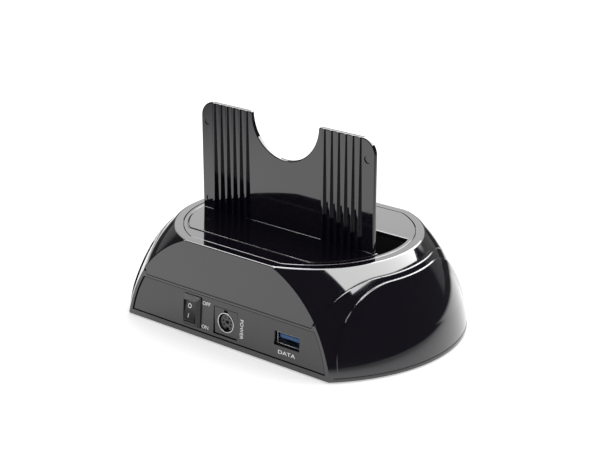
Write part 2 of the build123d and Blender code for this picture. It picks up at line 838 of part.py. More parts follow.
with BuildPart() as power_socket_shield:
    with BuildSketch(socket_plane.offset(shield_stand_out)):
        Circle(shield_radius)
        Circle(shield_inner, mode=Mode.SUBTRACT)
    extrude(amount=-(shield_stand_out + socket_well_depth))
power_socket_shield.part.label = "power_socket_shield"
export_step(power_socket_shield.part, "parts/power_socket_shield.step")

with BuildPart() as power_socket_core:
    with BuildSketch(socket_plane.offset(-core_setback)):
        Circle(core_radius)
    extrude(amount=core_setback - socket_well_depth)
    with BuildSketch(socket_plane.offset(-core_setback)):
        Rectangle(core_key_width, core_key_height)
        with Locations((0, -core_radius)):
            Rectangle(core_slot_width, 2 * core_slot_height)
        for angle in core_hole_angles:
            hole_x = core_hole_circle * cos(radians(angle))
            hole_y = core_hole_circle * sin(radians(angle))
            with Locations((hole_x, hole_y)):
                Circle(core_hole_radius)
    extrude(amount=-core_hole_depth, mode=Mode.SUBTRACT)
power_socket_core.part.label = "power_socket_core"
export_step(power_socket_core.part, "parts/power_socket_core.step")

# Data socket: metal shell, tongue with its carrier down to the board, contacts under the tongue
usb_plane = upright(usb_x, socket_face_y - usb_setback, usb_height)
usb_leg = usb_height - board_top
with BuildPart() as usb_shell:
    with BuildSketch(usb_plane):
        Rectangle(usb_shell_width, usb_shell_height)
        Rectangle(usb_shell_width - 2 * usb_shell_wall, usb_shell_height - 2 * usb_shell_wall,
                  mode=Mode.SUBTRACT)
    extrude(amount=-usb_shell_depth)
usb_shell.part.label = "usb_shell"
export_step(usb_shell.part, "parts/usb_shell.step")

with BuildPart() as usb_insulator:
    with BuildSketch(usb_plane.offset(-usb_shell_depth)):
        with Locations((0, (usb_shell_height / 2 - usb_leg) / 2)):
            Rectangle(usb_shell_width, usb_shell_height / 2 + usb_leg)
    extrude(amount=-usb_tail)
    with BuildSketch(usb_plane.offset(-usb_shell_depth)):
        with Locations((0, -(usb_shell_height / 2 + usb_leg) / 2)):
            Rectangle(usb_shell_width, usb_leg - usb_shell_height / 2)
    extrude(amount=usb_shell_depth - usb_tail)
    with BuildSketch(usb_plane.offset(-usb_shell_depth)):
        Rectangle(usb_shell_width - 2 * usb_shell_wall, usb_shell_height - 2 * usb_shell_wall)
    extrude(amount=usb_back)
    with BuildSketch(usb_plane.offset(-usb_shell_depth)):
        with Locations((0, tongue_drop)):
            Rectangle(tongue_width, tongue_thickness)
    extrude(amount=usb_shell_depth - tongue_setback)
usb_insulator.part.label = "usb_insulator"
export_step(usb_insulator.part, "parts/usb_insulator.step")

with BuildPart() as usb_contacts:
    with BuildSketch(usb_plane.offset(-tongue_setback - usb_pad_length / usb_pad_count)):
        with Locations((0, tongue_drop - (tongue_thickness + usb_pad_thickness) / 2)):
            with GridLocations(usb_pad_pitch, usb_pad_pitch, usb_pad_count, 1):
                Rectangle(usb_pad_width, usb_pad_thickness)
    extrude(amount=-usb_pad_length)
usb_contacts.part.label = "usb_contacts"
export_step(usb_contacts.part, "parts/usb_contacts.step")

# Circuit board
with BuildPart() as main_board:
    with BuildSketch(level(board_z - board_thickness)):
        with Locations((0, (board_rear - board_front) / 2)):
            RectangleRounded(2 * board_half_width, board_rear + board_front, board_corner)
        with Locations((0, (board_rear + board_tab_front) / 2)):
            RectangleRounded(2 * board_tab_half, board_rear - board_tab_front, board_corner)
        with Locations(*board_holes):
            Circle(board_hole_radius, mode=Mode.SUBTRACT)
    extrude(amount=board_thickness)
main_board.part.label = "main_board"
export_step(main_board.part, "parts/main_board.step")

# Drive socket: body with a data slot and a power slot, and the blades in them
slots_length = sata_data_length + sata_bridge + sata_power_length
data_x = sata_x - slots_length / 2 + sata_data_length / 2
power_x = sata_x + slots_length / 2 - sata_power_length / 2
sata_top = board_z + sata_height
blade_y = sata_y - sata_slot / 2 + pin_thickness / 2
with BuildPart() as sata_socket:
    with BuildSketch(level(board_z)):
        with Locations((sata_x, sata_y)):
            Rectangle(sata_length, sata_thickness)
    extrude(amount=sata_height)
    with BuildSketch(level(sata_top)):
        for x, length in ((data_x, sata_data_length), (power_x, sata_power_length)):
            with Locations((x, sata_y)):
                Rectangle(length, sata_slot)
            with Locations((x + (length - sata_key_width) / 2, sata_y + (sata_slot + sata_key) / 2)):
                Rectangle(sata_key_width, sata_key)
    extrude(amount=-sata_slot_depth, mode=Mode.SUBTRACT)
sata_socket.part.label = "sata_socket"
export_step(sata_socket.part, "parts/sata_socket.step")

with BuildPart() as sata_contacts:
    with BuildSketch(level(sata_top - sata_slot_depth)):
        for x, count in ((data_x, sata_data_count), (power_x, sata_power_count)):
            with Locations((x, blade_y)):
                with GridLocations(sata_pitch, sata_pitch, count, 1):
                    Rectangle(pin_width, pin_thickness)
    extrude(amount=pin_length)
sata_contacts.part.label = "sata_contacts"
export_step(sata_contacts.part, "parts/sata_contacts.step")


def board_block(length, width, height, x, y, edge):
    """Rectangular part standing on the board, its upright edges rounded."""
    with BuildPart() as block:
        with BuildSketch(level(board_z)):
            with Locations((x, y)):
                RectangleRounded(length, width, edge)
        extrude(amount=height)
    return block.part


# Small parts on the board
bridge_chip = board_block(chip_size, chip_size, chip_thickness, chip_x, board_rear - chip_setback,
                          chip_edge)
bridge_chip.label = "bridge_chip"
export_step(bridge_chip, "parts/bridge_chip.step")

memory_chip = board_block(memory_length, memory_width, memory_thickness, memory_x,
                          board_rear - memory_setback, chip_edge)
memory_chip.label = "memory_chip"
export_step(memory_chip, "parts/memory_chip.step")

crystal = board_block(crystal_length, crystal_width, crystal_height, crystal_x, board_rear - crystal_setback,
                      crystal_width / 2 - chip_edge)
crystal.label = "crystal"
export_step(crystal, "parts/crystal.step")

inductor = board_block(coil_size, coil_size, coil_height, coil_x, board_rear - coil_setback, coil_corner)
inductor.label = "inductor"
export_step(inductor, "parts/inductor.step")

voltage_regulator = board_block(regulator_length, regulator_width, regulator_thickness, regulator_x,
                                board_rear - regulator_setback, chip_edge)
voltage_regulator.label = "voltage_regulator"
export_step(voltage_regulator, "parts/voltage_regulator.step")

can_y = board_rear - can_setback
can_places = [(-can_x, can_y), (can_x, can_y)]
with BuildPart() as capacitors:
    with BuildSketch(level(board_z)):
        with Locations(*can_places):
            Circle(can_radius)
    extrude(amount=can_height)
    with BuildSketch(level(board_z + can_groove_height)):
        with Locations(*can_places):
            Circle(can_radius)
            Circle(can_radius - can_groove, mode=Mode.SUBTRACT)
    extrude(amount=can_groove, mode=Mode.SUBTRACT)
capacitors.part.label = "capacitors"
export_step(capacitors.part, "parts/capacitors.step")

# Status light: diode on the board, and a clear rod through the front wall
led_z = board_z + led_height
led_y = led_block_depth / 2 - board_front
led_tip = board_front + led_reach
with BuildPart() as status_led:
    with BuildSketch(level(board_z)):
        with Locations((0, led_y)):
            Rectangle(led_block_width, led_block_depth)
    extrude(amount=led_block_height)
    with BuildSketch(front.offset(board_front)):
        with Locations((0, led_z)):
            Circle(led_radius)
    extrude(amount=led_reach)
    fillet(status_led.faces().sort_by(Axis.Y)[0].edges(), led_radius / 2)
status_led.part.label = "status_led"
export_step(status_led.part, "parts/status_led.step")

with BuildPart() as led_window:
    with BuildSketch(front.offset(led_tip + window_led_gap)):
        with Locations((0, led_z)):
            Circle(window_radius)
    extrude(amount=half_depth(led_z) - led_tip - window_led_gap)
led_window.part.label = "led_window"
export_step(led_window.part, "parts/led_window.step")

# Rubber feet
with BuildPart() as rubber_feet:
    with BuildSketch(level(0)):
        with Locations(*pad_places):
            Circle(pad_radius)
    extrude(amount=pad_thickness)
rubber_feet.part.label = "rubber_feet"
export_step(rubber_feet.part, "parts/rubber_feet.step")


def screw_set(places, seat, way, radius, length, head_radius, head_height):
    """Screws with cross recesses; way is 1 for screws driven upwards and -1 for downwards."""
    with BuildPart() as screws:
        with BuildSketch(level(seat)):
            with Locations(*places):
                Circle(radius)
        extrude(amount=way * length)
        with BuildSketch(level(seat)):
            with Locations(*places):
                Circle(head_radius)
        extrude(amount=-way * head_height)
        with BuildSketch(level(seat - way * head_height)):
            with Locations(*places):
                Rectangle(2 * head_radius * recess_length_share, 2 * head_radius * recess_width_share)
                Rectangle(2 * head_radius * recess_width_share, 2 * head_radius * recess_length_share)
        extrude(amount=way * head_height * recess_share, mode=Mode.SUBTRACT)
    return screws.part


case_screws = screw_set(post_places, boss_z - case_seat_share * boss_height, 1, case_screw_radius,
                        case_screw_length, case_head_radius, case_head_height)
case_screws.label = "case_screws"
export_step(case_screws, "parts/case_screws.step")

board_screws = screw_set(board_holes, board_z, -1, small_screw_radius, board_screw_length,
                         small_head_radius, small_head_height)
board_screws.label = "board_screws"
export_step(board_screws, "parts/board_screws.step")

well_screws = screw_set(well_screw_places, deck_z - well_flange_thickness, 1, small_screw_radius,
                        well_screw_length, small_head_radius, small_head_height)
well_screws.label = "well_screws"
export_step(well_screws, "parts/well_screws.step")

backrest_screws = screw_set(backrest_screw_places, deck_z, 1, small_screw_radius, backrest_screw_length,
                            small_head_radius, small_head_height)
backrest_screws.label = "backrest_screws"
export_step(backrest_screws, "parts/backrest_screws.step")
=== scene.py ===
"""Looks of a desk-top drive docking station: a glossy domed housing with a leaning ribbed backrest.

Every length is in metres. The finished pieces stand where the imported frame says.
"""
import logging
import math
from dataclasses import dataclass
from enum import Enum
from typing import Any, Sequence

import bmesh
import bpy
import numpy as np
from mathutils import Matrix, Vector
from mathutils.bvhtree import BVHTree


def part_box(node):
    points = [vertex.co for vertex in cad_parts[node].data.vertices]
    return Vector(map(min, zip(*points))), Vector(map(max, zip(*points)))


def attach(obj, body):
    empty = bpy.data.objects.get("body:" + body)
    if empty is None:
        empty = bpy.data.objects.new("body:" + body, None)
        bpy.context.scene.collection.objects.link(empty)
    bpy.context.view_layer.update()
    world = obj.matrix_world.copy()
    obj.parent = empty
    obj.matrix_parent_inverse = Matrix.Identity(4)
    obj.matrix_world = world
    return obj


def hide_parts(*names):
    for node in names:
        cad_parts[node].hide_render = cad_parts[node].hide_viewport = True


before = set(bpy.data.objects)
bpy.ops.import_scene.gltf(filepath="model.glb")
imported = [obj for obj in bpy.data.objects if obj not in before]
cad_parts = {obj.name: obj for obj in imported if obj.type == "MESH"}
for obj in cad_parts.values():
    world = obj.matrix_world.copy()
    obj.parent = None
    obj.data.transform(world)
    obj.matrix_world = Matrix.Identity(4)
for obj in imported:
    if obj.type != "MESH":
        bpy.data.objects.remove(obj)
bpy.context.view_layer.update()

MM = 0.001
WELD = 0.002 * MM
TINY = 1e-9
FLAT_ANGLE = math.radians(0.5)
SHARP_ANGLE = math.radians(30.0)
FOOT_LOW, FOOT_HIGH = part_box("bottom_plate")
MIDDLE = (FOOT_LOW.y + FOOT_HIGH.y) / 2
FLOOR = FOOT_LOW.z
END_CENTRE = 4.2 * MM
DRAW = 2.2 * MM
RISE = 45.3 * MM
VIEW_RIGHT = Vector((-1.0, 0.0, 0.0))
REAR = Vector((0.0, 1.0, 0.0))
UP = Vector((0.0, 0.0, 1.0))
log = logging.getLogger("docking_station")


class Body(Enum):
    """The rigid bodies that a piece can ride on."""

    HOUSING = "housing"
    ROCKER = "rocker"


class Grain(Enum):
    """Texture of a moulding: the scale of its noise and the depth of its bump."""

    POLISHED = (260.0, 0.0004 * MM)
    FINE = (3200.0, 0.012 * MM)
    COARSE = (1700.0, 0.05 * MM)


# Expressions for shaders and Geometry Nodes


class Signal:
    """A value in a node tree, so that masks, mixes and sizes can be written as sums and products."""

    def __init__(self, tree: "Tree", socket: bpy.types.NodeSocket) -> None:
        """Wraps the output socket of a node."""
        self.tree = tree
        self.socket = socket

    def math(self, operation: str, *others: "Signal | float", first: "float | None" = None) -> "Signal":
        """Adds one Math node.

        Args:
            operation: the node's operation.
            others: the operands after this one.
            first: a number that goes before this one, for the reflected forms.

        Returns:
            The node's result.
        """
        operands = [self, *others] if first is None else [first, self, *others]
        return self.tree.node("ShaderNodeMath", {"operation": operation}, dict(enumerate(operands)))

    def __add__(self, other: "Signal | float") -> "Signal":
        """Sum."""
        return self.math("ADD", other)

    __radd__ = __add__

    def __sub__(self, other: "Signal | float") -> "Signal":
        """Difference."""
        return self.math("SUBTRACT", other)

    def __rsub__(self, other: float) -> "Signal":
        """Difference from a plain number."""
        return self.math("SUBTRACT", first=other)

    def __mul__(self, other: "Signal | float") -> "Signal":
        """Product."""
        return self.math("MULTIPLY", other)

    __rmul__ = __mul__

    def __truediv__(self, other: "Signal | float") -> "Signal":
        """Quotient."""
        return self.math("DIVIDE", other)

    def __gt__(self, other: "Signal | float") -> "Signal":
        """One where this is the greater."""
        return self.math("GREATER_THAN", other)

    def maximum(self, other: "Signal | float") -> "Signal":
        """The greater of the two."""
        return self.math("MAXIMUM", other)

    def ramp(self, low: float, high: float) -> "Signal":
        """Smooth step from 0 at low to 1 at high."""
        inputs = {"Value": self, "From Min": low, "From Max": high}
        return self.tree.node("ShaderNodeMapRange", {"interpolation_type": "SMOOTHSTEP"}, inputs)


class Tree:
    """A node tree, built by expressions."""

    def __init__(self, owner: Any) -> None:
        """Empties a node group, or the tree of a material or of the world.

        Args:
            owner: the group, the material or the world.
        """
        if not isinstance(owner, bpy.types.NodeTree):
            owner.use_nodes = True
            owner = owner.node_tree
        self.tree = owner
        self.tree.nodes.clear()

    def node(self, kind: str, settings: "dict[str, Any] | None" = None,
             inputs: "dict[str | int, Any] | None" = None, output: "str | int" = 0) -> Signal:
        """Adds a node.

        Args:
            kind: the node's type.
            settings: attributes that are set first.
            inputs: values or signals for its sockets, by name or index.
            output: which output to return.

        Returns:
            The chosen output.
        """
        made = self.tree.nodes.new(kind)
        for name, value in (settings or {}).items():
            setattr(made, name, value)
        for name, value in (inputs or {}).items():
            if isinstance(value, Signal):
                self.tree.links.new(value.socket, made.inputs[name])
            else:
                made.inputs[name].default_value = value
        return Signal(self, made.outputs[output] if made.outputs else None)

    def place(self) -> Signal:
        """Object coordinates."""
        return self.node("ShaderNodeTexCoord", output="Object")

    def parts(self, vector: Signal) -> "list[Signal]":
        """The x, y and z of a vector."""
        return [self.node("ShaderNodeSeparateXYZ", inputs={0: vector}, output=i) for i in range(3)]

    def joined(self, *parts: "Signal | float") -> Signal:
        """A vector of its x, y and z; the last ones may be left out."""
        return self.node("ShaderNodeCombineXYZ", inputs=dict(enumerate(parts)))

    def noise(self, scale: float, detail: float = 2.0, place: "Signal | None" = None) -> Signal:
        """Noise on object coordinates, about 0 to 1."""
        inputs = {"Vector": place or self.place(), "Scale": scale, "Detail": detail}
        return self.node("ShaderNodeTexNoise", inputs=inputs, output="Fac")

    def mix(self, factor: "Signal | float", first: Any, second: Any) -> Signal:
        """Mix of two colours."""
        return self.node("ShaderNodeMix", {"data_type": "RGBA"}, {0: factor, 6: first, 7: second}, output=2)

    def bump(self, height: Signal, distance: float) -> Signal:
        """Bump normal from a height."""
        return self.node("ShaderNodeBump", inputs={"Height": height, "Distance": distance}, output="Normal")

    def surface(self, shader: Signal, kind: str = "ShaderNodeOutputMaterial") -> None:
        """Joins a shader to the output."""
        self.node(kind, inputs={"Surface": shader})


def rgba(colour: Sequence[float]) -> tuple:
    """A colour with full opacity."""
    return (*colour, 1.0)


def tinted(colour: Sequence[float], share: float) -> tuple:
    """The colour, lighter or darker by a share."""
    return rgba([min(1.0, c * share) for c in colour])


BLACK = rgba((0.0, 0.0, 0.0))
WHITE = rgba((1.0, 1.0, 1.0))


# Finishes


@dataclass(frozen=True)
class Finish:
    """What a piece is made of. Each kind of finish says what its shader takes."""

    name: str
    colour: tuple

    def shading(self, tree: Tree) -> "dict[str, Any]":
        """The shader's inputs, from nodes that are added to the tree."""
        raise NotImplementedError

    def build(self) -> bpy.types.Material:
        """Makes the material.

        Returns:
            The material, with this finish's name.
        """
        made = bpy.data.materials.new(self.name)
        tree = Tree(made)
        tree.surface(tree.node("ShaderNodeBsdfPrincipled", inputs=self.shading(tree)))
        return made


@dataclass(frozen=True)
class Plastic(Finish):
    """Moulded plastic, from mirror gloss to a fine matt grain."""

    roughness: float
    grain: Grain = Grain.FINE
    coat: float = 0.0
    coat_roughness: float = 0.03
    handling: float = 0.04
    ior: float = 1.5
    smear_scale: float = 38.0
    smear_edge: tuple = (0.42, 0.72)
    dust_scale: float = 2600.0
    dust_edge: tuple = (0.70, 0.76)
    dust_share: float = 0.4
    mottle: tuple = (0.35, 0.3)
    lighter: float = 1.35

    def shading(self, tree: Tree) -> "dict[str, Any]":
        """Smears and dust in the roughness, and the grain in the normal.

        Args:
            tree: the material's tree.

        Returns:
            The shader's inputs.
        """
        smear = tree.noise(self.smear_scale, detail=3.0).ramp(*self.smear_edge)
        dust = tree.noise(self.dust_scale, detail=1.0).ramp(*self.dust_edge)
        scale, depth = self.grain.value
        peel = tree.noise(scale)
        mottle = smear * self.mottle[0] + peel * self.mottle[1]
        return {
            "Base Color": tree.mix(mottle, rgba(self.colour), tinted(self.colour, self.lighter)),
            "Roughness": smear * self.handling + dust * (self.dust_share * self.handling) + self.roughness,
            "IOR": self.ior, "Coat Weight": self.coat, "Coat Roughness": self.coat_roughness,
            "Normal": tree.bump(peel, depth)}


@dataclass(frozen=True)
class Metal(Finish):
    """Plated, rolled or drawn metal."""

    roughness: float
    brushed: tuple = (1.0, 1.0, 1.0)
    tarnish: float = 0.25
    line_scale: float = 1900.0
    line_share: float = 0.12
    line_depth: float = 0.002 * MM
    dull_scale: float = 160.0
    dull_edge: tuple = (0.45, 0.7)
    dull_share: float = 0.1
    darker: float = 0.6

    def shading(self, tree: Tree) -> "dict[str, Any]":
        """Drawn lines, and a duller tone where it is handled.

        Args:
            tree: the material's tree.

        Returns:
            The shader's inputs.
        """
        stretched = tree.node("ShaderNodeMapping", inputs={"Vector": tree.place(), "Scale": self.brushed})
        lines = tree.noise(self.line_scale, detail=3.0, place=stretched)
        dull = tree.noise(self.dull_scale, detail=3.0).ramp(*self.dull_edge)
        smoothest = self.roughness - self.line_share / 2
        return {
            "Base Color": tree.mix(dull * self.tarnish, rgba(self.colour), tinted(self.colour, self.darker)),
            "Metallic": 1.0,
            "Roughness": lines * self.line_share + dull * self.dull_share + smoothest,
            "Normal": tree.bump(lines, self.line_depth)}


@dataclass(frozen=True)
class Laminate(Finish):
    """Circuit board: solder mask over copper tracks that run along and across."""

    copper: tuple
    roughness: float = 0.3
    lighter: float = 1.5
    track_scale: float = 95.0
    track_share: float = 0.55
    track_depth: float = 0.03 * MM
    patch_scale: float = 70.0
    patch_edge: tuple = (0.45, 0.52)
    weave_scale: float = 900.0
    weave_share: float = 0.15

    def shading(self, tree: Tree) -> "dict[str, Any]":
        """Raised tracks in patches, over a woven ground.

        Args:
            tree: the material's tree.

        Returns:
            The shader's inputs.
        """
        bricks = tree.node("ShaderNodeTexBrick", {"offset": 0.35}, {
            "Vector": tree.place(), "Scale": self.track_scale, "Mortar Size": 0.07, "Mortar Smooth": 0.1,
            "Color1": BLACK, "Color2": BLACK, "Mortar": WHITE, "Brick Width": 0.9, "Row Height": 0.22},
            output="Fac")
        tracks = bricks * tree.noise(self.patch_scale, detail=1.0).ramp(*self.patch_edge)
        weave = tree.noise(self.weave_scale)
        ground = tree.mix(weave, rgba(self.colour), tinted(self.colour, self.lighter))
        return {"Base Color": tree.mix(tracks * self.track_share, ground, rgba(self.copper)),
                "Roughness": weave * self.weave_share + self.roughness,
                "Normal": tree.bump(tracks, self.track_depth)}


@dataclass(frozen=True)
class Clear(Finish):
    """Clear plastic with a faint haze."""

    roughness: float = 0.05
    ior: float = 1.49
    haze_scale: float = 500.0
    haze_share: float = 0.1
    darker: float = 0.9

    def shading(self, tree: Tree) -> "dict[str, Any]":
        """Haze in the colour and the roughness.

        Args:
            tree: the material's tree.

        Returns:
            The shader's inputs.
        """
        haze = tree.noise(self.haze_scale)
        return {"Base Color": tree.mix(haze, rgba(self.colour), tinted(self.colour, self.darker)),
                "Roughness": haze * self.haze_share + self.roughness,
                "IOR": self.ior, "Transmission Weight": 1.0}


HOUSING_GLOSS = Plastic("housing_gloss", (0.0048, 0.0040, 0.0072), 0.06, Grain.POLISHED, 1.0, 0.02)
PANEL_SATIN = Plastic("panel_satin", (0.011, 0.010, 0.012), 0.17, Grain.FINE, 0.6, 0.16, 0.05)
# Matt near-black for the bands over the parting lines: painted shade in the parting grooves.
SEAM_PAINTED_SHADE = Plastic("seam_painted_shade", (0.006, 0.006, 0.007), 0.7)
SWITCH_SATIN = Plastic("switch_satin", (0.019, 0.019, 0.021), 0.30)
INNER_SATIN = Plastic("inner_satin", (0.012, 0.012, 0.013), 0.45, Grain.COARSE)
SOCKET_BLACK = Plastic("socket_black", (0.007, 0.007, 0.008), 0.35)
CORE_GREY = Plastic("core_grey", (0.055, 0.054, 0.056), 0.4)
TONGUE_BLUE = Plastic("tongue_blue", (0.006, 0.060, 0.18), 0.3)
CHIP_EPOXY = Plastic("chip_epoxy", (0.02, 0.02, 0.022), 0.6, Grain.COARSE)
LEAD_SHEATH = Plastic("lead_sheath", (0.42, 0.02, 0.015), 0.4)
FOOT_RUBBER = Plastic("foot_rubber", (0.03, 0.03, 0.032), 0.8, Grain.COARSE)
PRINT_WHITE = Plastic("print_white", (0.80, 0.80, 0.79), 0.55)
LIGHT_WHITE = Plastic("light_body", (0.65, 0.68, 0.75), 0.3)
NICKEL = Metal("nickel_plate", (0.78, 0.76, 0.73), 0.24, (1.0, 0.1, 1.0))
GOLD = Metal("gold_plate", (0.86, 0.62, 0.28), 0.28)
TIN = Metal("tin_plate", (0.93, 0.91, 0.90), 0.25, tarnish=0.05)
BRASS = Metal("brass_sheet", (0.72, 0.55, 0.28), 0.32)
CAN_METAL = Metal("can_aluminium", (0.72, 0.73, 0.75), 0.3, (1.0, 1.0, 0.1))
SCREW_STEEL = Metal("screw_steel", (0.45, 0.45, 0.46), 0.34, tarnish=0.5)
BOARD = Laminate("board_laminate", (0.01, 0.09, 0.035), (0.10, 0.22, 0.08))
WINDOW = Clear("window_clear", (0.92, 0.94, 0.97))

NODE_FINISHES = (
    (HOUSING_GLOSS, ("bottom_plate", "lower_shell", "top_cover", "top_insert", "backrest")),
    (PANEL_SATIN, ("io_panel",)),
    (SWITCH_SATIN, ("switch_housing", "switch_rocker")),
    (INNER_SATIN, ("drive_well",)),
    (SOCKET_BLACK, ("power_socket", "sata_socket")),
    (CORE_GREY, ("power_socket_core",)),
    (TONGUE_BLUE, ("usb_insulator",)),
    (CHIP_EPOXY, ("bridge_chip", "memory_chip", "inductor", "voltage_regulator")),
    (LEAD_SHEATH, ("switch_leads",)),
    (FOOT_RUBBER, ("rubber_feet",)),
    (LIGHT_WHITE, ("status_led",)),
    (NICKEL, ("power_socket_shield", "crystal")),
    (GOLD, ("usb_contacts", "sata_contacts")),
    (TIN, ("usb_shell",)),
    (BRASS, ("switch_terminals",)),
    (CAN_METAL, ("capacitors",)),
    (SCREW_STEEL, ("case_screws", "board_screws", "well_screws", "backrest_screws")),
    (BOARD, ("main_board",)),
    (WINDOW, ("led_window",)),
)
_materials: "dict[str, bpy.types.Material]" = {}


def material(finish: Finish) -> bpy.types.Material:
    """The finish's material, made once.

    Args:
        finish: what a piece is made of.

    Returns:
        Its material.
    """
    if finish.name not in _materials:
        _materials[finish.name] = finish.build()
    return _materials[finish.name]


# Mesh helpers


def linked(name: str, data: Any) -> bpy.types.Object:
    """A new object in the scene.

    Args:
        name: the object's name.
        data: its mesh, curve, lamp or camera.

    Returns:
        The object.
    """
    made = bpy.data.objects.new(name, data)
    bpy.context.scene.collection.objects.link(made)
    return made


def put_in_scene(name: str, mesh: bpy.types.Mesh, finish: Finish, body: Body) -> bpy.types.Object:
    """Makes a piece of a finished mesh.

    Args:
        name: the piece's name.
        mesh: its mesh, in place.
        finish: what it is made of.
        body: what it rides on.

    Returns:
        The new object.
    """
    piece = linked(name, mesh)
    mesh.materials.clear()
    mesh.materials.append(material(finish))
    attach(piece, body.value)
    log.info("%s: %d faces on %s", name, len(mesh.polygons), body.value)
    return piece


def node_bmesh(node: str) -> bmesh.types.BMesh:
    """A welded copy of a node's mesh.

    Args:
        node: the node's name.

    Returns:
        The copy, in triangles.
    """
    work = bmesh.new()
    work.from_mesh(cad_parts[node].data)
    bmesh.ops.remove_doubles(work, verts=work.verts, dist=WELD)
    bmesh.ops.dissolve_degenerate(work, edges=work.edges, dist=WELD / 2)
    bmesh.ops.triangulate(work, faces=work.faces)
    return work


def node_skin(node: str) -> BVHTree:
    """A node's surface, for casting rays at."""
    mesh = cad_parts[node].data
    return BVHTree.FromPolygons([v.co for v in mesh.vertices], [f.vertices[:] for f in mesh.polygons])


def as_mesh(work: bmesh.types.BMesh, name: str) -> bpy.types.Mesh:
    """The plain mesh of a work mesh, which is freed.

    Args:
        work: the work mesh.
        name: name of the result.

    Returns:
        The plain mesh.
    """
    mesh = bpy.data.meshes.new(name)
    work.to_mesh(mesh)
    work.free()
    return mesh


def from_points(name: str, spots: "list[Any]", faces: "list[Any]") -> bpy.types.Mesh:
    """A mesh of points and faces.

    Args:
        name: its name.
        spots: its points.
        faces: its faces, as numbers of points.

    Returns:
        The mesh.
    """
    mesh = bpy.data.meshes.new(name)
    mesh.from_pydata(spots, [], faces)
    return mesh


def baked(holder: bpy.types.Object) -> bpy.types.Mesh:
    """The plain mesh that an object's modifiers give; the object is removed.

    Args:
        holder: the object.

    Returns:
        The mesh.
    """
    bpy.context.view_layer.update()
    graph = bpy.context.evaluated_depsgraph_get()
    mesh = bpy.data.meshes.new_from_object(holder.evaluated_get(graph), depsgraph=graph)
    bpy.data.objects.remove(holder)
    return mesh


def weighted(mesh: bpy.types.Mesh, sharp: float = 40.0) -> bpy.types.Mesh:
    """Smooths a mesh by angle, with the normals of its large faces kept.

    Args:
        mesh: the mesh; it is used up.
        sharp: edges over this angle in degrees stay sharp.

    Returns:
        The smoothed mesh.
    """
    holder = linked("smoothing", mesh)
    for face in mesh.polygons:
        face.use_smooth = True
    mesh.set_sharp_from_angle(angle=math.radians(sharp))
    smoothing = holder.modifiers.new("weighted", "WEIGHTED_NORMAL")
    smoothing.keep_sharp = True
    smoothing.weight = 100
    return baked(holder)


def softened(work: bmesh.types.BMesh, name: str, width: float, steps: int = 2) -> bpy.types.Mesh:
    """Rounds the sharp edges of a mesh.

    Args:
        work: the mesh; it is freed.
        name: name of the result.
        width: width of the rounding.
        steps: how many strips a rounding has.

    Returns:
        The mesh with rounded edges and smooth normals.
    """
    bmesh.ops.dissolve_limit(work, angle_limit=FLAT_ANGLE, verts=work.verts, edges=work.edges)
    work.normal_update()
    edges = [e for e in work.edges if len(e.link_faces) == 2 and e.calc_face_angle(0.0) > SHARP_ANGLE]
    bmesh.ops.bevel(work, geom=edges, offset=width, segments=steps, profile=0.5, affect="EDGES",
                    clamp_overlap=True)
    return weighted(as_mesh(work, name))


def thickened(work: bmesh.types.BMesh, faces: "list[bmesh.types.BMFace]", depth: float,
              **options: bool) -> None:
    """Gives flat faces a thickness along z.

    Args:
        work: the mesh that holds them.
        faces: the flat faces.
        depth: how far the copy of the faces is moved.
        options: more options of the extrusion.
    """
    moved = bmesh.ops.extrude_face_region(work, geom=faces, **options)
    copied = [v for v in moved["geom"] if isinstance(v, bmesh.types.BMVert)]
    bmesh.ops.translate(work, verts=copied, vec=(0.0, 0.0, depth))


def extruded(outline: Sequence[tuple], low: float, high: float) -> bmesh.types.BMesh:
    """A closed solid over a plane outline.

    Args:
        outline: corner points in order, in local x and y.
        low: local z of the underside.
        high: local z of the top.

    Returns:
        The solid.
    """
    work = bmesh.new()
    under = work.faces.new([work.verts.new((x, y, low)) for x, y in outline])
    thickened(work, [under], high - low)
    bmesh.ops.recalc_face_normals(work, faces=work.faces)
    return work


def standing(origin: Vector, across: Vector, up: Vector, out: Vector) -> Matrix:
    """A place with its local x, y and z along three directions."""
    return Matrix.Translation(origin) @ Matrix((across, up, out)).transposed().to_4x4()


def arc(centre: tuple, radius: float, start: float, end: float, steps: int) -> "list[tuple]":
    """Points along an arc.

    Args:
        centre: its centre.
        radius: its radius.
        start: first angle in degrees.
        end: last angle in degrees.
        steps: number of chords.

    Returns:
        The points, both ends with them.
    """
    angles = [math.radians(start + (end - start) * i / steps) for i in range(steps + 1)]
    return [(centre[0] + radius * math.cos(a), centre[1] + radius * math.sin(a)) for a in angles]


def quarter(steps: int) -> "list[float]":
    """Angles from nothing to a quarter turn."""
    return [math.pi / 2 * i / steps for i in range(steps + 1)]


def eased(share: float) -> float:
    """Smooth step of a share between 0 and 1."""
    return share * share * (3 - 2 * share)


# Housing


@dataclass(frozen=True)
class Dome:
    """Round end of a housing form: an arc turned about an upright axis at each end."""

    foot: float
    crown: float
    bulge: float
    inset: float = 0.0

    def circle(self) -> "tuple[float, float, float]":
        """Centre and radius of the arc, measured from the axis and from the floor.

        Returns:
            Its distance from the axis, its height and its radius.
        """
        run = self.foot - self.crown
        chord = math.hypot(RISE, run)
        radius = chord ** 2 / (8 * self.bulge) + self.bulge / 2
        setback = radius - self.bulge
        centre = (self.foot + self.crown) / 2 - setback * RISE / chord
        return centre, FLOOR + RISE / 2 - setback * run / chord, radius - self.inset

    def reach(self, height: float) -> float:
        """Distance of the surface from the axis at a height."""
        centre_r, centre_z, radius = self.circle()
        return centre_r + math.sqrt(max(radius ** 2 - (height - centre_z) ** 2, 0.0))

    def upward(self, height: float) -> float:
        """Height part of the surface's unit normal at a height."""
        _, centre_z, radius = self.circle()
        return (height - centre_z) / radius


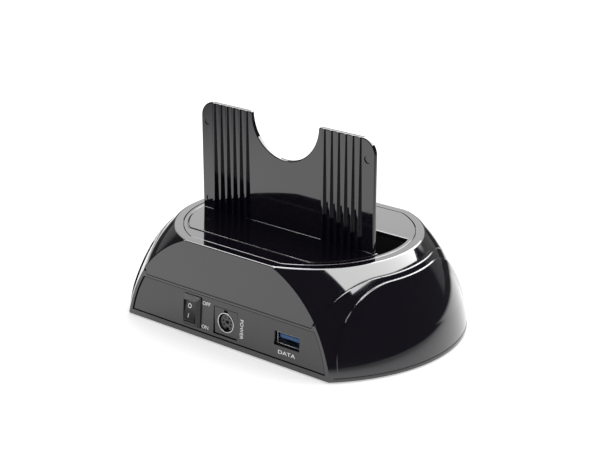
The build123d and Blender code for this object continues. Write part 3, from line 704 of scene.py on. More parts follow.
@dataclass(frozen=True)
class Arch:
    """Line of an arch in the side view, with a flat top and round shoulders."""

    height: float
    radius: float
    flat: float
    low: float

    def stations(self, steps: int) -> "list[tuple[float, float, float, float]]":
        """Points over the arch.

        Args:
            steps: chords on each shoulder; the flat top has as many.

        Returns:
            Place across, height, and the outward direction's two parts, from the rear to the front.
        """
        axis = self.height - self.radius
        end = math.acos(max(-1.0, min(1.0, (self.low - axis) / self.radius)))
        turns = [end * (1 - i / steps) for i in range(steps)]
        rear = [(self.flat, t) for t in turns]
        top = [(self.flat * (1 - 2 * i / steps), 0.0) for i in range(steps)]
        front = [(-self.flat, -t) for t in [0.0, *reversed(turns)]]
        return [(y + self.radius * math.sin(t), axis + self.radius * math.cos(t), math.sin(t), math.cos(t))
                for y, t in rear + top + front]


@dataclass
class Housing:
    """The glossy mouldings: cover, shell, bottom plate and the insert in the deck."""

    rim: float = 56.55 * MM
    foot: float = 78.95 * MM
    wall: float = 2.2 * MM
    bulge: float = 4.3 * MM
    fender_bulge: float = 3.6 * MM
    fender_out: float = 1.2 * MM
    step_out: float = 2.1 * MM
    step_in: float = 0.4 * MM
    near: float = 0.03 * MM
    agree: float = math.cos(math.radians(14.0))
    agree_flat: float = 0.99999
    blend: float = math.cos(math.radians(52.0))
    proud: float = 0.02 * MM
    step_arch: Arch = Arch(38.5 * MM, 34.8 * MM, 16.0 * MM, 4.0 * MM)
    step_hollow: float = 0.28 * MM
    step_round: float = 0.28 * MM
    step_run: float = 5.0 * MM
    step_fade: tuple = (3.0 * MM, 14.0 * MM)
    step_margins: tuple = (0.1 * MM, 0.15 * MM)
    step_roots: tuple = (0.4 * MM, 0.9 * MM)
    run_points: int = 10
    arch_points: int = 48
    seam_arch: Arch = Arch(40.9 * MM, 42.3 * MM, 20.0 * MM, 24.5 * MM)
    seam_edge: float = 0.14 * MM
    seam_round: float = 0.26 * MM
    seam_roots: tuple = (0.2 * MM, 0.6 * MM)
    lip_shade_line: float = 0.46 * MM
    lip_turn: float = 42.0
    seam_shade_line: float = 0.5 * MM
    seam_level: float = 23.1 * MM
    seam_half: float = 50.1 * MM
    line_depth: float = 0.6 * MM

    def domes(self) -> "list[Dome]":
        """Every turned surface that the shells have, outside and inside.

        Returns:
            The cover outside and inside, the fender and the second step.
        """
        return [Dome(self.foot, self.rim, self.bulge), Dome(self.foot, self.rim, self.bulge, self.wall),
                Dome(self.foot, self.rim + self.fender_out, self.fender_bulge),
                Dome(self.foot - self.step_in, self.rim + self.step_out, self.fender_bulge)]

    def formula_normals(self, mesh: bpy.types.Mesh) -> None:
        """Gives the domes and flats their true normals, and lets the edge rounds run between them.

        Args:
            mesh: a shell's welded mesh.
        """
        place = np.array([v.co[:] for v in mesh.vertices])
        along = np.maximum(np.abs(place[:, 0]) - END_CENTRE, 0.0) * np.sign(place[:, 0])
        across = place[:, 1] - MIDDLE
        reach = np.hypot(along, across)
        beyond = np.abs(place[:, 0]) >= END_CENTRE - self.near
        faces = np.array([f.vertices[:] for f in mesh.polygons])
        flat = np.array([f.normal[:] for f in mesh.polygons])
        area = np.array([f.area for f in mesh.polygons])
        own = np.full(len(faces), -1)
        outward = []
        for k, dome in enumerate(self.domes()):
            centre_r, centre_z, radius = dome.circle()
            r_part = reach - centre_r
            z_part = place[:, 2] - centre_z
            length = np.maximum(np.hypot(r_part, z_part), TINY)
            turned = r_part / np.maximum(reach, TINY)
            normal = np.stack([turned * along, turned * across, z_part], axis=1) / length[:, None]
            outward.append(normal)
            hit = ((np.abs(length - radius) < self.near) & beyond)[faces].all(axis=1)
            agree = np.abs((normal[faces].mean(axis=1) * flat).sum(axis=1)) > self.agree
            own[hit & agree & (own < 0)] = k
        planes = np.array([(0, 0, 1), (0, 1, DRAW / RISE), (0, -1, DRAW / RISE)], float)
        planes /= np.linalg.norm(planes, axis=1)[:, None]
        level = (np.abs(flat @ planes.T) > self.agree_flat).any(axis=1)
        beside = [[] for _ in range(len(place))]
        for index, corners in enumerate(faces):
            for corner in corners:
                beside[corner].append(index)

        def domed(face: int, corner: int) -> np.ndarray:
            """A dome's normal at a vertex, on the side of one of its faces."""
            normal = outward[own[face]][corner]
            return normal if normal @ flat[face] > 0 else -normal

        def blended(index: int, corner: int) -> np.ndarray:
            """Normal of one corner of one face.

            Args:
                index: the face.
                corner: the vertex.

            Returns:
                The normal of the dome or plane that the face lies on or runs into, or else a mean.
            """
            if own[index] >= 0:
                return domed(index, corner)
            if level[index]:
                return flat[index]
            close = [g for g in beside[corner] if flat[g] @ flat[index] > self.blend]
            for face in close:
                if own[face] >= 0:
                    return domed(face, corner)
            for face in close:
                if level[face]:
                    return flat[face]
            total = (flat[close] * area[close, None]).sum(axis=0)
            return total / max(np.linalg.norm(total), TINY ** 2)

        mesh.normals_split_custom_set([tuple(blended(index, corner)) for index, corners in enumerate(faces)
                                       for corner in corners])

    def shell(self, node: str, name: str) -> bpy.types.Object:
        """A shell with true normals, in place of its node.

        Args:
            node: the node that it stands for.
            name: the new piece's name.

        Returns:
            The piece.
        """
        mesh = as_mesh(node_bmesh(node), name)
        for face in mesh.polygons:
            face.use_smooth = True
        self.formula_normals(mesh)
        piece = put_in_scene(name, mesh, HOUSING_GLOSS, Body.HOUSING)
        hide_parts(node)
        return piece

    def step_profile(self) -> "list[tuple[float, float, float]]":
        """Section of the second step's edge: a hollow, a round and a long run down to the step.

        Returns:
            Points as distance outside the arch, height over the fender, and share of the step's stand.
        """
        hollow, crown = self.step_hollow, self.step_round
        margin, wide = self.step_margins
        root, depth = self.step_roots
        start = hollow + margin
        edge = start - hollow
        points = [(start + wide, -root, 0.0), (start + margin, 0.0, 0.0)]
        points += [(start - hollow * math.sin(t), hollow * (1 - math.cos(t)), 0.0) for t in quarter(steps=8)]
        points += [(edge - crown * (1 - math.cos(t)), hollow + crown * math.sin(t), 0.0)
                   for t in quarter(steps=8)[1:]]
        for i in range(1, self.run_points + 1):
            share = i / self.run_points
            points.append((edge - crown - self.step_run * share, (hollow + crown) * (1 - eased(share)),
                           eased(share)))
        last = edge - crown - self.step_run - margin
        return points + [(last, -root, 1.0), (last, -depth, 0.0), (start + wide, -depth, 0.0)]

    def seam_profile(self) -> "list[tuple[float, float, float]]":
        """Section of the round on the cover's lower edge.

        Returns:
            Points as in step_profile.
        """
        size, edge = self.seam_round, self.seam_edge
        root, depth = self.seam_roots
        points = [(edge + 3 * size, -root, 0.0), (edge + 2.8 * size, 0.0, 0.0), (edge + size, 0.0, 0.0)]
        points += [(edge + size * (1 - math.sin(t)), -size * (1 - math.cos(t)), 0.0)
                   for t in quarter(steps=6)[1:]]
        return points + [(edge, -depth, 0.0), (edge + 3 * size, -depth, 0.0)]

    def arch_lips(self, name: str, base: Dome, raised: Dome, arch: Arch, fade: "tuple[float, float] | None",
                  profile: "list[tuple[float, float, float]]") -> bpy.types.Object:
        """A rounded lip along an arch, on both ends of the housing.

        Args:
            name: the piece's name.
            base: the surface that the lip stands on.
            raised: the surface that its inner side runs into.
            arch: the line that it follows.
            fade: heights between which the lip grows to its full size, if it does.
            profile: its closed section.

        Returns:
            The piece, with the surfaces' own normals where it is flush.
        """
        spots, normals, faces = [], [], []
        count = len(profile)
        for side in (-1.0, 1.0):
            first = len(spots)
            for y, z, out_y, out_z in arch.stations(self.arch_points):
                size = 1.0
                if fade is not None:
                    size = eased(min(1.0, max(0.0, (z - fade[0]) / (fade[1] - fade[0]))))
                row = []
                for distance, lift, share in profile:
                    across, height = y + out_y * distance, z + out_z * distance
                    ring = base.reach(height)
                    along = math.sqrt(ring ** 2 - across ** 2)
                    rise = base.upward(height)
                    level = math.sqrt(1 - rise ** 2)
                    normal = Vector((side * along / ring * level, across / ring * level, rise))
                    stand = max(raised.reach(height) - ring, 0.0) * level
                    lifted = (lift * size if lift > 0 else lift) + stand * share + self.proud
                    spot = Vector((side * (END_CENTRE + along), across + MIDDLE, height))
                    row.append((spot + normal * lifted, normal, distance, lifted))
                for j, (spot, normal, _, _) in enumerate(row):
                    before, after = row[max(j - 1, 1)], row[min(j + 1, count - 4)]
                    run, climb = after[2] - before[2], after[3] - before[3]
                    length = max(math.hypot(run, climb), TINY)
                    outward = Vector((0.0, out_y, out_z))
                    outward = (outward - normal * outward.dot(normal)).normalized()
                    spots.append(spot)
                    normals.append((outward * climb - normal * run) / length)
            last = len(spots) - count
            for i in range(first, last, count):
                for j in range(count):
                    a, b = i + j, i + (j + 1) % count
                    quad = (a, b, b + count, a + count)
                    faces.append(quad if side < 0 else quad[::-1])
            caps = [range(first, first + count)[::-1], range(last, last + count)]
            faces += [list(cap if side < 0 else cap[::-1]) for cap in caps]
        mesh = from_points(name, spots, faces)
        loops = []
        for face in mesh.polygons:
            face.use_smooth = len(face.vertices) == 4
            flush = face.use_smooth and all(1 <= v % count < count - 3 for v in face.vertices)
            loops += [tuple(normals[v]) if flush else tuple(face.normal) for v in face.vertices]
        mesh.normals_split_custom_set(loops)
        return put_in_scene(name, mesh, HOUSING_GLOSS, Body.HOUSING)

    def parting_line(self, name: str, nodes: "tuple[str, str]", level: float, width: float,
                     runs: "list[list[tuple[Vector, Vector]]]") -> bpy.types.Object:
        """Thin matt black bands over a parting line, sunk into the mouldings on both sides of it; they are
        painted shade for the parting line's groove.

        Args:
            name: the piece's name.
            nodes: the node under the line and the node over it.
            level: height of the line.
            width: the bands' height.
            runs: for each band its stations, anticlockwise from above: a point inside and the way out.

        Returns:
            The piece.
        """
        edges = [(node_skin(node), UP * (level + way * width / 2)) for node, way in zip(nodes, (-1, 1))]
        far = 2 * self.foot
        spots, faces = [], []
        for run in runs:
            first = len(spots)
            for inside, outward in run:
                low, high = (skin.ray_cast(inside + outward * far + lift, -outward, far)[0]
                             for skin, lift in edges)
                spots += [high + outward * self.proud, high - outward * self.line_depth,
                          low - outward * self.line_depth, low + outward * self.proud]
            last = len(spots) - 4
            for at in range(first, last, 4):
                faces += [(at + j, at + k, at + k + 4, at + j + 4)
                          for j, k in ((1, 0), (0, 3), (3, 2), (2, 1))]
            faces += [(first, first + 1, first + 2, first + 3), (last + 3, last + 2, last + 1, last)]
        # The bands are matt near-black: painted shade along the parting line.
        mesh = weighted(from_points(name, spots, faces))
        return put_in_scene(name, mesh, SEAM_PAINTED_SHADE, Body.HOUSING)

    def parting_lines(self) -> "list[bpy.types.Object]":
        """The bands of painted shade over the bottom plate's lip, and over the long straight seams.

        Returns:
            Both pieces.
        """
        around, along = [], []
        for side in (1, -1):
            centre = Vector((side * END_CENTRE, MIDDLE, 0.0))
            turns = arc((0.0, 0.0), 1.0, 90 - 90 * side - self.lip_turn, 90 - 90 * side + self.lip_turn,
                        steps=2 * self.arch_points)
            around.append([(centre, Vector((x, y, 0.0))) for x, y in turns])
            along.append([(Vector((side * self.seam_half * (1 - i / 12), MIDDLE, 0.0)), REAR * side)
                          for i in range(25)])
        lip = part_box("lower_shell")[0].z
        return [self.parting_line("lip_shade_line", ("bottom_plate", "lower_shell"), lip, self.lip_shade_line, around),
                self.parting_line("seam_shade_line", ("lower_shell", "top_cover"), self.seam_level, self.seam_shade_line,
                                  along)]

    def build(self) -> "list[bpy.types.Object]":
        """Makes the mouldings, the lips along their arches and the parting lines of painted shade.

        Returns:
            The pieces.
        """
        cover, _, fender, step = self.domes()
        shells = (("top_cover", "cover_moulding"), ("lower_shell", "shell_moulding"),
                  ("bottom_plate", "bottom_moulding"), ("top_insert", "deck_insert"))
        lips = (("step_lips", fender, step, self.step_arch, self.step_fade, self.step_profile()),
                ("seam_lips", cover, cover, self.seam_arch, None, self.seam_profile()))
        return [*(self.shell(*row) for row in shells), *(self.arch_lips(*row) for row in lips),
                *self.parting_lines()]


# Backrest


@dataclass
class Backrest:
    """The leaning plate with its finger notch, its foot on the deck and thin ribs behind it."""

    half_width: float = 51.75 * MM
    height: float = 54.6 * MM
    thickness: float = 2.2 * MM
    lean: float = math.radians(1.7)
    corner: float = 7.5 * MM
    notch: float = 20.0 * MM
    lead: float = 1.2 * MM
    root: float = 1.0 * MM
    edge: float = 0.55 * MM
    root_round: float = 0.3 * MM
    rib_count: int = 6
    rib_first: float = 23.2 * MM
    rib_pitch: float = 4.05 * MM
    rib_width: float = 1.1 * MM
    rib_top: float = 0.7 * MM
    rib_foot: float = 1.8 * MM
    rib_edge: float = 0.12 * MM
    mark: float = 1.9 * MM
    mark_slope: float = 0.06 * MM
    mark_depth: float = 0.5 * MM
    mark_side: float = 47.9 * MM
    mark_heights: tuple = (5.2 * MM, 44.8 * MM)
    foot_radius: float = 49.5 * MM
    foot_rear: float = 38.0 * MM
    foot_front: float = 8.6 * MM
    foot_rise: float = 2.6 * MM
    foot_edge: float = 0.3 * MM

    def __post_init__(self) -> None:
        """Reads the deck's heights from the frame."""
        self.plate_rear = MIDDLE + self.foot_front + self.thickness
        self.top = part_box("top_insert")[1].z
        self.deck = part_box("backrest")[0].z

    def plane(self) -> Matrix:
        """Place of the plate: local x runs to the viewer's right from behind, y up, z out of its rear.

        Returns:
            The place as a matrix.
        """
        up = UP * math.cos(self.lean) + REAR * math.sin(self.lean)
        out = REAR * math.cos(self.lean) - UP * math.sin(self.lean)
        return standing(Vector((0.0, self.plate_rear, self.top)), VIEW_RIGHT, up, out)

    def plate_outline(self) -> "list[tuple]":
        """Outline of the plate, with round top corners and the notch with its leads.

        Returns:
            Corner points in the plate's own x and y.
        """
        side = self.half_width
        top = self.height
        reach = math.sqrt((self.notch + self.lead) ** 2 - self.lead ** 2)
        turn = math.degrees(math.asin(self.lead / (self.notch + self.lead)))
        right = [(side, -self.root)]
        right += arc((side - self.corner, top - self.corner), self.corner, 0.0, 90.0, steps=14)
        right += arc((reach, top - self.lead), self.lead, 90.0, 180.0 - turn, steps=7)
        left = [(-x, y) for x, y in reversed(right)]
        dip = arc((0.0, top), self.notch, -turn, -180.0 + turn, steps=44)[1:-1]
        return right + dip + left

    def plate(self) -> bpy.types.Mesh:
        """The plate with rounded edges and its shallow round marks.

        Returns:
            Its mesh, in place.
        """
        blank = extruded(self.plate_outline(), -self.thickness, 0.0)
        holder = linked("plate_blank", softened(blank, "backrest_plate", self.edge, steps=3))
        marks = bmesh.new()
        for side in (-self.mark_side, self.mark_side):
            for height in self.mark_heights:
                bmesh.ops.create_cone(marks, cap_ends=True, segments=40, radius1=self.mark,
                                      radius2=self.mark + 2 * self.mark_slope, depth=2 * self.mark_depth,
                                      matrix=Matrix.Translation((side, height, 0.0)))
        cutter = linked("mark_cutters", as_mesh(marks, "mark_cutters"))
        cut = holder.modifiers.new("marks", "BOOLEAN")
        cut.object = cutter
        cut.solver = "EXACT"
        result = baked(holder)
        bpy.data.objects.remove(cutter)
        result = weighted(result)
        result.transform(self.plane())
        return result

    def foot(self) -> bpy.types.Mesh:
        """The foot that lies on the deck, with round ends about the housing's end centres.

        Returns:
            Its mesh, in place.
        """
        ends = [math.degrees(math.asin(y / self.foot_radius)) for y in (self.foot_front, self.foot_rear)]
        right = arc((END_CENTRE, 0.0), self.foot_radius, *ends, steps=24)
        outline = right + [(-x, y) for x, y in reversed(right)]
        mesh = softened(extruded(outline, 0.0, self.foot_rise), "backrest_foot", self.foot_edge)
        mesh.transform(Matrix.Translation((0.0, MIDDLE, self.deck)))
        return mesh

    def root_strip(self) -> bpy.types.Mesh:
        """The hollow round where the plate's rear stands on its foot.

        Returns:
            Its mesh, in place.
        """
        hollow = arc((self.root_round, self.root_round), self.root_round, 270.0, 180.0, steps=8)
        under = -self.edge
        outline = [(under, under), (self.root_round, under), *hollow, (under, self.root_round)]
        half = self.half_width - self.edge
        mesh = as_mesh(extruded(outline, -half, half), "backrest_root")
        place = Vector((0.0, self.plate_rear, self.deck + self.foot_rise))
        mesh.transform(standing(place, REAR, UP, -VIEW_RIGHT))
        return weighted(mesh, sharp=50.0)

    def rib_tree(self) -> bpy.types.NodeTree:
        """Geometry Nodes for one bank of ribs that taper towards their top.

        Returns:
            The tree, with the bank's sizes as its inputs.
        """
        group = bpy.data.node_groups.new("rib_bank", "GeometryNodeTree")
        kinds = {"Count": "Int", "First": "Float", "Pitch": "Float", "Width": "Float", "Height": "Float",
                 "Foot Depth": "Float", "Top Depth": "Float", "Finish": "Material"}
        for name, kind in kinds.items():
            group.interface.new_socket(name, in_out="INPUT", socket_type="NodeSocket" + kind)
        group.interface.new_socket("Geometry", in_out="OUTPUT", socket_type="NodeSocketGeometry")
        tree = Tree(group)
        give = {name: tree.node("NodeGroupInput", output=name) for name in kinds}
        size = tree.joined(give["Width"], give["Height"], 1.0)
        block = tree.node("GeometryNodeMeshCube", inputs={"Size": size, "Vertices Y": 9})
        across, up, out = tree.parts(tree.node("GeometryNodeInputPosition"))
        taper = give["Top Depth"] - give["Foot Depth"]
        depth = (up / give["Height"] + 0.5).math("MULTIPLY_ADD", taper, give["Foot Depth"])
        spot = tree.joined(across, up + give["Height"] * 0.5, (out + 0.5) * depth)
        rib = tree.node("GeometryNodeSetPosition", inputs={"Geometry": block, "Position": spot})
        row = tree.node("GeometryNodeMeshLine", {"mode": "OFFSET"}, {
            "Count": give["Count"], "Start Location": tree.joined(give["First"]),
            "Offset": tree.joined(give["Pitch"])})
        bank = tree.node("GeometryNodeInstanceOnPoints", inputs={"Points": row, "Instance": rib})
        plain = tree.node("GeometryNodeRealizeInstances", inputs={"Geometry": bank})
        done = tree.node("GeometryNodeSetMaterial", inputs={"Geometry": plain, "Material": give["Finish"]})
        tree.node("NodeGroupOutput", inputs={"Geometry": done})
        return group

    def ribs(self) -> bpy.types.Mesh:
        """Both banks of ribs, in place on the plate.

        Returns:
            Their mesh.
        """
        group = self.rib_tree()
        sizes = {"Count": self.rib_count, "Width": self.rib_width, "Height": self.height,
                 "Foot Depth": self.rib_foot, "Top Depth": self.rib_top, "Finish": material(HOUSING_GLOSS)}
        both = bmesh.new()
        for way in (-1, 1):
            holder = linked("ribs", bpy.data.meshes.new("ribs"))
            grow = holder.modifiers.new("ribs", "NODES")
            grow.node_group = group
            values = {**sizes, "First": way * self.rib_first, "Pitch": way * self.rib_pitch}
            for item in group.interface.items_tree:
                if item.in_out == "INPUT":
                    grow[item.identifier] = values[item.name]
            both.from_mesh(baked(holder))
        mesh = softened(both, "backrest_ribs", self.rib_edge)
        mesh.transform(self.plane())
        return mesh

    def build(self) -> "list[bpy.types.Object]":
        """Makes the backrest.

        Returns:
            The pieces, the plate first.
        """
        meshes = (("backrest_plate", self.plate()), ("backrest_foot", self.foot()),
                  ("backrest_root", self.root_strip()), ("backrest_ribs", self.ribs()))
        pieces = [put_in_scene(name, mesh, HOUSING_GLOSS, Body.HOUSING)
                  for name, mesh in meshes]
        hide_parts("backrest")
        return pieces


# Rear panel with its switch, sockets and print


@dataclass
class RearPanel:
    """The recessed plate, the rocker switch, both sockets and the printed words."""

    lean: float = DRAW / RISE
    print_depth: float = 0.03 * MM
    rocker_pivot: tuple = (20.4 * MM, 52.878 * MM, 12.61 * MM)
    rocker_swing: float = math.radians(11.0)
    ring_radius: float = 0.95 * MM
    bar_length: float = 2.0 * MM
    mark_width: float = 0.30 * MM
    mark_shift: float = -0.5 * MM
    mark_offsets: tuple = (2.4 * MM, -2.35 * MM)
    mark_reach: float = 6.0 * MM
    letter_weld: float = 1e-7
    band_weld: float = 1e-8

    def __post_init__(self) -> None:
        """Finds the panel's face from the frame."""
        spots = np.array([v.co[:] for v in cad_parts["io_panel"].data.vertices])
        self.face = (spots[:, 1] + spots[:, 2] * self.lean).max()

    def on_face(self, x: float, z: float, turn: float = 0.0) -> Matrix:
        """Place on the panel's face, with local x to the viewer's right.

        Args:
            x: place along the housing.
            z: height above the floor.
            turn: turn of the local axes, in radians.

        Returns:
            The place as a matrix.
        """
        length = math.hypot(1.0, self.lean)
        up = (UP - REAR * self.lean) / length
        out = (REAR + UP * self.lean) / length
        spot = Vector((x, self.face - self.lean * z, z))
        return standing(spot, VIEW_RIGHT, up, out) @ Matrix.Rotation(turn, 4, "Z")

    def printed(self, words: str, size: "tuple[float, float]", place: Matrix) -> bpy.types.Mesh:
        """Printed letters.

        Args:
            words: what they say.
            size: their length and height.
            place: the middle of the words, with local z out of the surface.

        Returns:
            Their mesh, in place.
        """
        curve = bpy.data.curves.new("print", "FONT")
        curve.body = words
        curve.resolution_u = 3
        mesh = baked(linked("print", curve))
        spots = np.array([v.co[:] for v in mesh.vertices])
        low, high = spots.min(axis=0), spots.max(axis=0)
        middle = Matrix.Translation(-Vector((low + high) / 2))
        scale = Matrix.Diagonal((size[0] / (high[0] - low[0]), size[1] / (high[1] - low[1]), 1.0, 1.0))
        work = bmesh.new()
        work.from_mesh(mesh)
        thickened(work, work.faces[:], -self.print_depth, use_keep_orig=True)
        bmesh.ops.remove_doubles(work, verts=work.verts, dist=self.letter_weld)
        bmesh.ops.recalc_face_normals(work, faces=work.faces)
        mesh = as_mesh(work, "print")
        mesh.transform(place @ Matrix.Translation((0.0, 0.0, self.print_depth)) @ scale @ middle)
        return mesh

    def words(self) -> "list[bpy.types.Object]":
        """The generic words beside the switch and the sockets, with their sizes and places in mm.

        Returns:
            The pieces.
        """
        rows = (("OFF", 4.8, 1.75, 11.9, 18.05, 0.0, "print_off"),
                ("ON", 4.1, 1.75, 12.45, 6.45, 0.0, "print_on"),
                ("POWER", 9.4, 1.9, -9.9, 11.3, -math.pi / 2, "print_power"),
                ("DATA", 9.8, 1.75, -36.7, 7.0, 0.0, "print_data"))
        pieces = []
        for text, length, height, x, z, turn, name in rows:
            mesh = self.printed(text, (length * MM, height * MM), self.on_face(x * MM, z * MM, turn))
            pieces.append(put_in_scene(name, mesh, PRINT_WHITE, Body.HOUSING))
        return pieces

    def dressed(self, node: str, name: str, finish: Finish, body: Body, slot: str,
                width: float) -> bpy.types.Object:
        """A node's form with rounded edges, in its place.

        Args:
            node: the node that it stands for.
            name: the new piece's name.
            finish: its finish.
            body: what it rides on.
            slot: the record's material slot; not used.
            width: width of the edge rounds.

        Returns:
            The piece.
        """
        piece = put_in_scene(name, softened(node_bmesh(node), name, width), finish, body)
        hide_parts(node)
        return piece

    def rocker_marks(self) -> "list[bpy.types.Object]":
        """The ring and the bar on the rocker's two ends.

        Returns:
            The pieces.
        """
        edges = (self.mark_width / 2, -self.mark_width / 2)
        ring = [arc((0.0, 0.0), self.ring_radius + edge, 90.0, 450.0, steps=48) for edge in edges]
        bar = [[(edge, self.bar_length * (i / 8 - 0.5)) for i in range(9)] for edge in edges]
        return [self.rocker_mark(list(zip(*band)), offset, name, closed) for band, offset, name, closed in
                zip((ring, bar), self.mark_offsets, ("rocker_ring", "rocker_bar"), (True, False))]

    def rocker_mark(self, pairs: "list[tuple]", offset: float, name: str, closed: bool) -> bpy.types.Object:
        """Lays a band of white print on the rocker's dished face.

        Args:
            pairs: points on the band's two edges.
            offset: how far up the rocker its middle lies.
            name: the piece's name.
            closed: whether the band runs back into its start.

        Returns:
            The piece.
        """
        face = node_skin("switch_rocker")
        turn = self.rocker_swing + math.atan(self.lean)
        up = UP * math.cos(turn) - REAR * math.sin(turn)
        out = REAR * math.cos(turn) + UP * math.sin(turn)
        start = Vector(self.rocker_pivot) + out * self.mark_reach
        work = bmesh.new()
        rows = []
        for pair in pairs:
            hits = [face.ray_cast(start + VIEW_RIGHT * (x + self.mark_shift) + up * (y + offset), -out)[0]
                    for x, y in pair]
            rows.append([work.verts.new(hits[i] + out * (way * self.print_depth))
                         for i, way in ((0, -1), (0, 1), (1, 1), (1, -1))])
        for first, second in zip(rows, rows[1:]):
            for i in range(4):
                j = (i + 1) % 4
                work.faces.new((first[i], first[j], second[j], second[i]))
        if not closed:
            for end in (rows[0], rows[-1]):
                work.faces.new(end)
        bmesh.ops.remove_doubles(work, verts=work.verts, dist=self.band_weld)
        bmesh.ops.recalc_face_normals(work, faces=work.faces)
        return put_in_scene(name, as_mesh(work, name), PRINT_WHITE, Body.ROCKER)

    def build(self) -> "list[bpy.types.Object]":
        """Makes the rear panel's pieces, with the width of their edge rounds in mm.

        Returns:
            The pieces.
        """
        rows = (("io_panel", "rear_panel", PANEL_SATIN, Body.HOUSING, "satin_black", 0.12),
                ("switch_housing", "switch_bezel", SWITCH_SATIN, Body.HOUSING, "satin_black", 0.12),
                ("switch_rocker", "rocker_cap", SWITCH_SATIN, Body.ROCKER, "satin_black", 0.08),
                ("power_socket", "power_block", PANEL_SATIN, Body.HOUSING, "satin_black", 0.35),
                ("power_socket_shield", "power_ring", NICKEL, Body.HOUSING, "nickel", 0.06),
                ("power_socket_core", "power_core", CORE_GREY, Body.HOUSING, "grey_core", 0.08),
                ("usb_shell", "data_shell", TIN, Body.HOUSING, "nickel", 0.03),
                ("usb_insulator", "data_tongue", TONGUE_BLUE, Body.HOUSING, "blue_insulator", 0.45))
        pieces = [self.dressed(*row, width * MM) for *row, width in rows]
        return pieces + self.words() + self.rocker_marks()


# Studio


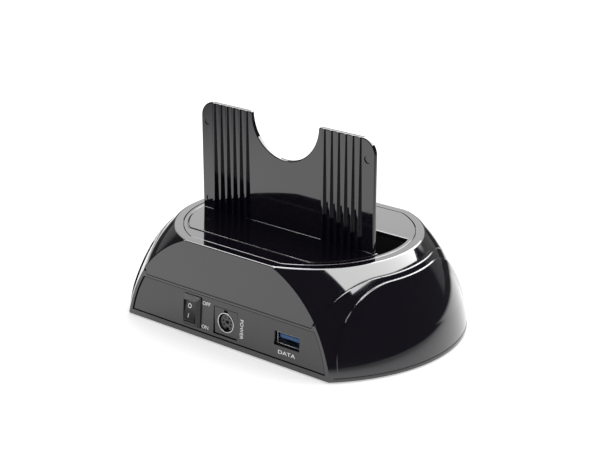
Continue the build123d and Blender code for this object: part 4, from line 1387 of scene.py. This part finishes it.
@dataclass
class Studio:
    """Pale floor, plain light and the camera at the photograph's angle."""

    azimuth: float = math.radians(218.47)
    elevation: float = math.radians(19.29)
    roll: float = math.radians(1.04)
    distance: float = 0.73871
    lens: float = 92.54
    sensor: float = 36.0
    clip: tuple = (0.01, 50.0)
    target: tuple = (-0.30 * MM, -1.339 * MM, 45.73 * MM)
    floor_size: float = 8.0
    floor_greys: tuple = (0.80, 0.84)
    floor_grain: float = 300.0
    floor_glow: float = 0.45
    painted_pool_left: tuple = (-0.33, -0.02)
    painted_pool_right: tuple = (0.15, 0.34)
    painted_pool_front: tuple = (-0.34, -0.18)
    painted_pool_depth: float = 0.7
    pale: float = 1.2
    dim: float = 0.035
    ambient: float = 0.75
    sweep_azimuth: float = math.radians(30.0)
    sweep_edge: tuple = (0.755, 0.82)
    sweep_foot: tuple = (0.23, 0.31)
    sweep_top: tuple = (0.50, 0.75)
    skirt_edge: tuple = (0.62, 0.72)
    skirt_level: float = 0.17
    least: float = 0.001
    horizon: float = 0.02
    blur: float = 0.03
    softbox_strength: float = 7.4
    softbox_along: tuple = (-1.11, 0.95)
    softbox_across: tuple = (-2.2, 0.13)
    softbox_skew: float = 0.144
    card_strength: float = 5.0
    card_along: tuple = (0.60, 1.10)
    card_across: tuple = (0.38, 0.80)
    lamp_place: tuple = (-0.1, -0.6, 1.2)
    lamp_aim: tuple = (0.0, 0.0, 0.04)
    lamp_size: tuple = (1.2, 0.9)
    lamp_power: float = 7.0

    def camera(self) -> None:
        """Stands the camera up."""
        level = math.cos(self.elevation)
        back = Vector((math.sin(self.azimuth) * level, -math.cos(self.azimuth) * level,
                       math.sin(self.elevation)))
        right = UP.cross(back).normalized()
        up = back.cross(right)
        rolled_right = right * math.cos(self.roll) + up * math.sin(self.roll)
        rolled_up = up * math.cos(self.roll) - right * math.sin(self.roll)
        data = bpy.data.cameras.new("camera")
        data.lens = self.lens
        data.sensor_width = self.sensor
        data.clip_start, data.clip_end = self.clip
        camera = linked("camera", data)
        place = Vector(self.target) + back * self.distance
        camera.matrix_world = standing(place, rolled_right, rolled_up, back)
        bpy.context.scene.camera = camera

    def world(self) -> None:
        """White for the camera, a studio with a pale sweep for reflections, plain light for the rest."""
        world = bpy.data.worlds.new("studio")
        bpy.context.scene.world = world
        tree = Tree(world)
        x, y, z = tree.parts(tree.node("ShaderNodeTexCoord", output="Generated"))
        level = (x * x + y * y).math("SQRT").maximum(self.least)
        facing = (x * math.sin(self.sweep_azimuth) - y * math.cos(self.sweep_azimuth)) / level
        height = z.maximum(self.least)
        along, across = x / height, y / height
        above = z > self.horizon
        near, far = self.softbox_across
        left, right = self.softbox_along
        skew = along + across * self.softbox_skew
        softbox = self.opened(skew, left) * self.closed(along, right) * self.opened(across, near)
        softbox = softbox * self.closed(across, far) * above
        card = above
        for part, (low, high) in ((along, self.card_along), (across, self.card_across)):
            card = card * self.opened(part, low) * self.closed(part, high)
        sweep = facing.ramp(*self.sweep_edge) * z.ramp(*self.sweep_foot) * (1.0 - z.ramp(*self.sweep_top))
        skirt = facing.ramp(*self.skirt_edge) * (1.0 - z.ramp(*self.sweep_foot))
        glossy = (sweep * self.pale).maximum(skirt * self.skirt_level)
        glossy = glossy.maximum(softbox * self.softbox_strength)
        glossy = glossy.maximum(card * self.card_strength).maximum(self.dim)
        seen, reflected, through = (tree.node("ShaderNodeLightPath", output=name)
                                    for name in ("Is Camera Ray", "Is Glossy Ray", "Is Transmission Ray"))
        mirrored = reflected.maximum(through)
        unseen = mirrored * glossy + (1.0 - mirrored) * self.ambient
        strength = seen + (1.0 - seen) * unseen
        light = tree.node("ShaderNodeBackground", inputs={"Color": WHITE, "Strength": strength})
        tree.surface(light, "ShaderNodeOutputWorld")

    def opened(self, part: Signal, low: float) -> Signal:
        """One from a value upwards, with a soft edge."""
        return part.ramp(low - self.blur, low)

    def closed(self, part: Signal, high: float) -> Signal:
        """One up to a value, with a soft edge."""
        return 1.0 - part.ramp(high, high + self.blur)

    def floor(self) -> None:
        """A pale floor that keeps the contact shadow; in reflections it shows a painted pool of light, set
        by place, and is dim beyond it.
        """
        half = self.floor_size / 2
        corners = [(x * half, y * half, 0.0) for x, y in ((-1, -1), (1, -1), (1, 1), (-1, 1))]
        floor = linked("floor", from_points("floor", corners, [(0, 1, 2, 3)]))
        made = bpy.data.materials.new("floor_card")
        tree = Tree(made)
        dark, light = (rgba((grey, grey, grey)) for grey in self.floor_greys)
        card = tree.node("ShaderNodeBsdfDiffuse", inputs={
            "Color": tree.mix(tree.noise(self.floor_grain), dark, light)})
        glow, dusk = (tree.node("ShaderNodeEmission", inputs={"Color": WHITE, "Strength": strength})
                      for strength in (self.floor_glow, self.dim))
        lit = tree.node("ShaderNodeAddShader", inputs={0: card, 1: glow})
        x, y, _ = tree.parts(tree.place())
        # Painted pool of light: near the object, reflections see the lit floor; beyond it, set by place,
        # they see a dim glow.
        painted_pool = x.ramp(*self.painted_pool_left) * self.painted_pool_depth + (1.0 - self.painted_pool_depth)
        painted_pool = painted_pool * (1.0 - x.ramp(*self.painted_pool_right)) * y.ramp(*self.painted_pool_front)
        mirrored = tree.node("ShaderNodeLightPath", output="Is Glossy Ray")
        tree.surface(tree.node("ShaderNodeMixShader", inputs={0: mirrored * (1.0 - painted_pool), 1: lit, 2: dusk}))
        floor.data.materials.append(made)

    def lamp(self) -> None:
        """Hangs a softbox that points at the object and doesn't show in its gloss."""
        data = bpy.data.lights.new("softbox_above", "AREA")
        data.shape = "RECTANGLE"
        data.size, data.size_y = self.lamp_size
        data.energy = self.lamp_power
        lamp = linked("softbox_above", data)
        aim = Vector(self.lamp_aim) - Vector(self.lamp_place)
        turned = aim.to_track_quat("-Z", "Y").to_matrix().to_4x4()
        lamp.matrix_world = Matrix.Translation(self.lamp_place) @ turned
        lamp.visible_glossy = False

    def build(self) -> None:
        """Sets up the studio."""
        bpy.context.scene.view_settings.view_transform = "Standard"
        self.camera()
        self.world()
        self.floor()
        self.lamp()


def dress_nodes() -> None:
    """Gives every node of the frame its finish."""
    for finish, nodes in NODE_FINISHES:
        for node in nodes:
            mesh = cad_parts[node].data
            mesh.materials.clear()
            mesh.materials.append(material(finish))


def main() -> None:
    """Builds the docking station's looks and its studio."""
    logging.basicConfig(level=logging.INFO, format="%(message)s")
    dress_nodes()
    for assembly in (Housing(), Backrest(), RearPanel()):
        pieces = assembly.build()
        log.info("%s: %d pieces", type(assembly).__name__, len(pieces))
    Studio().build()


if __name__ == "__main__":
    main()
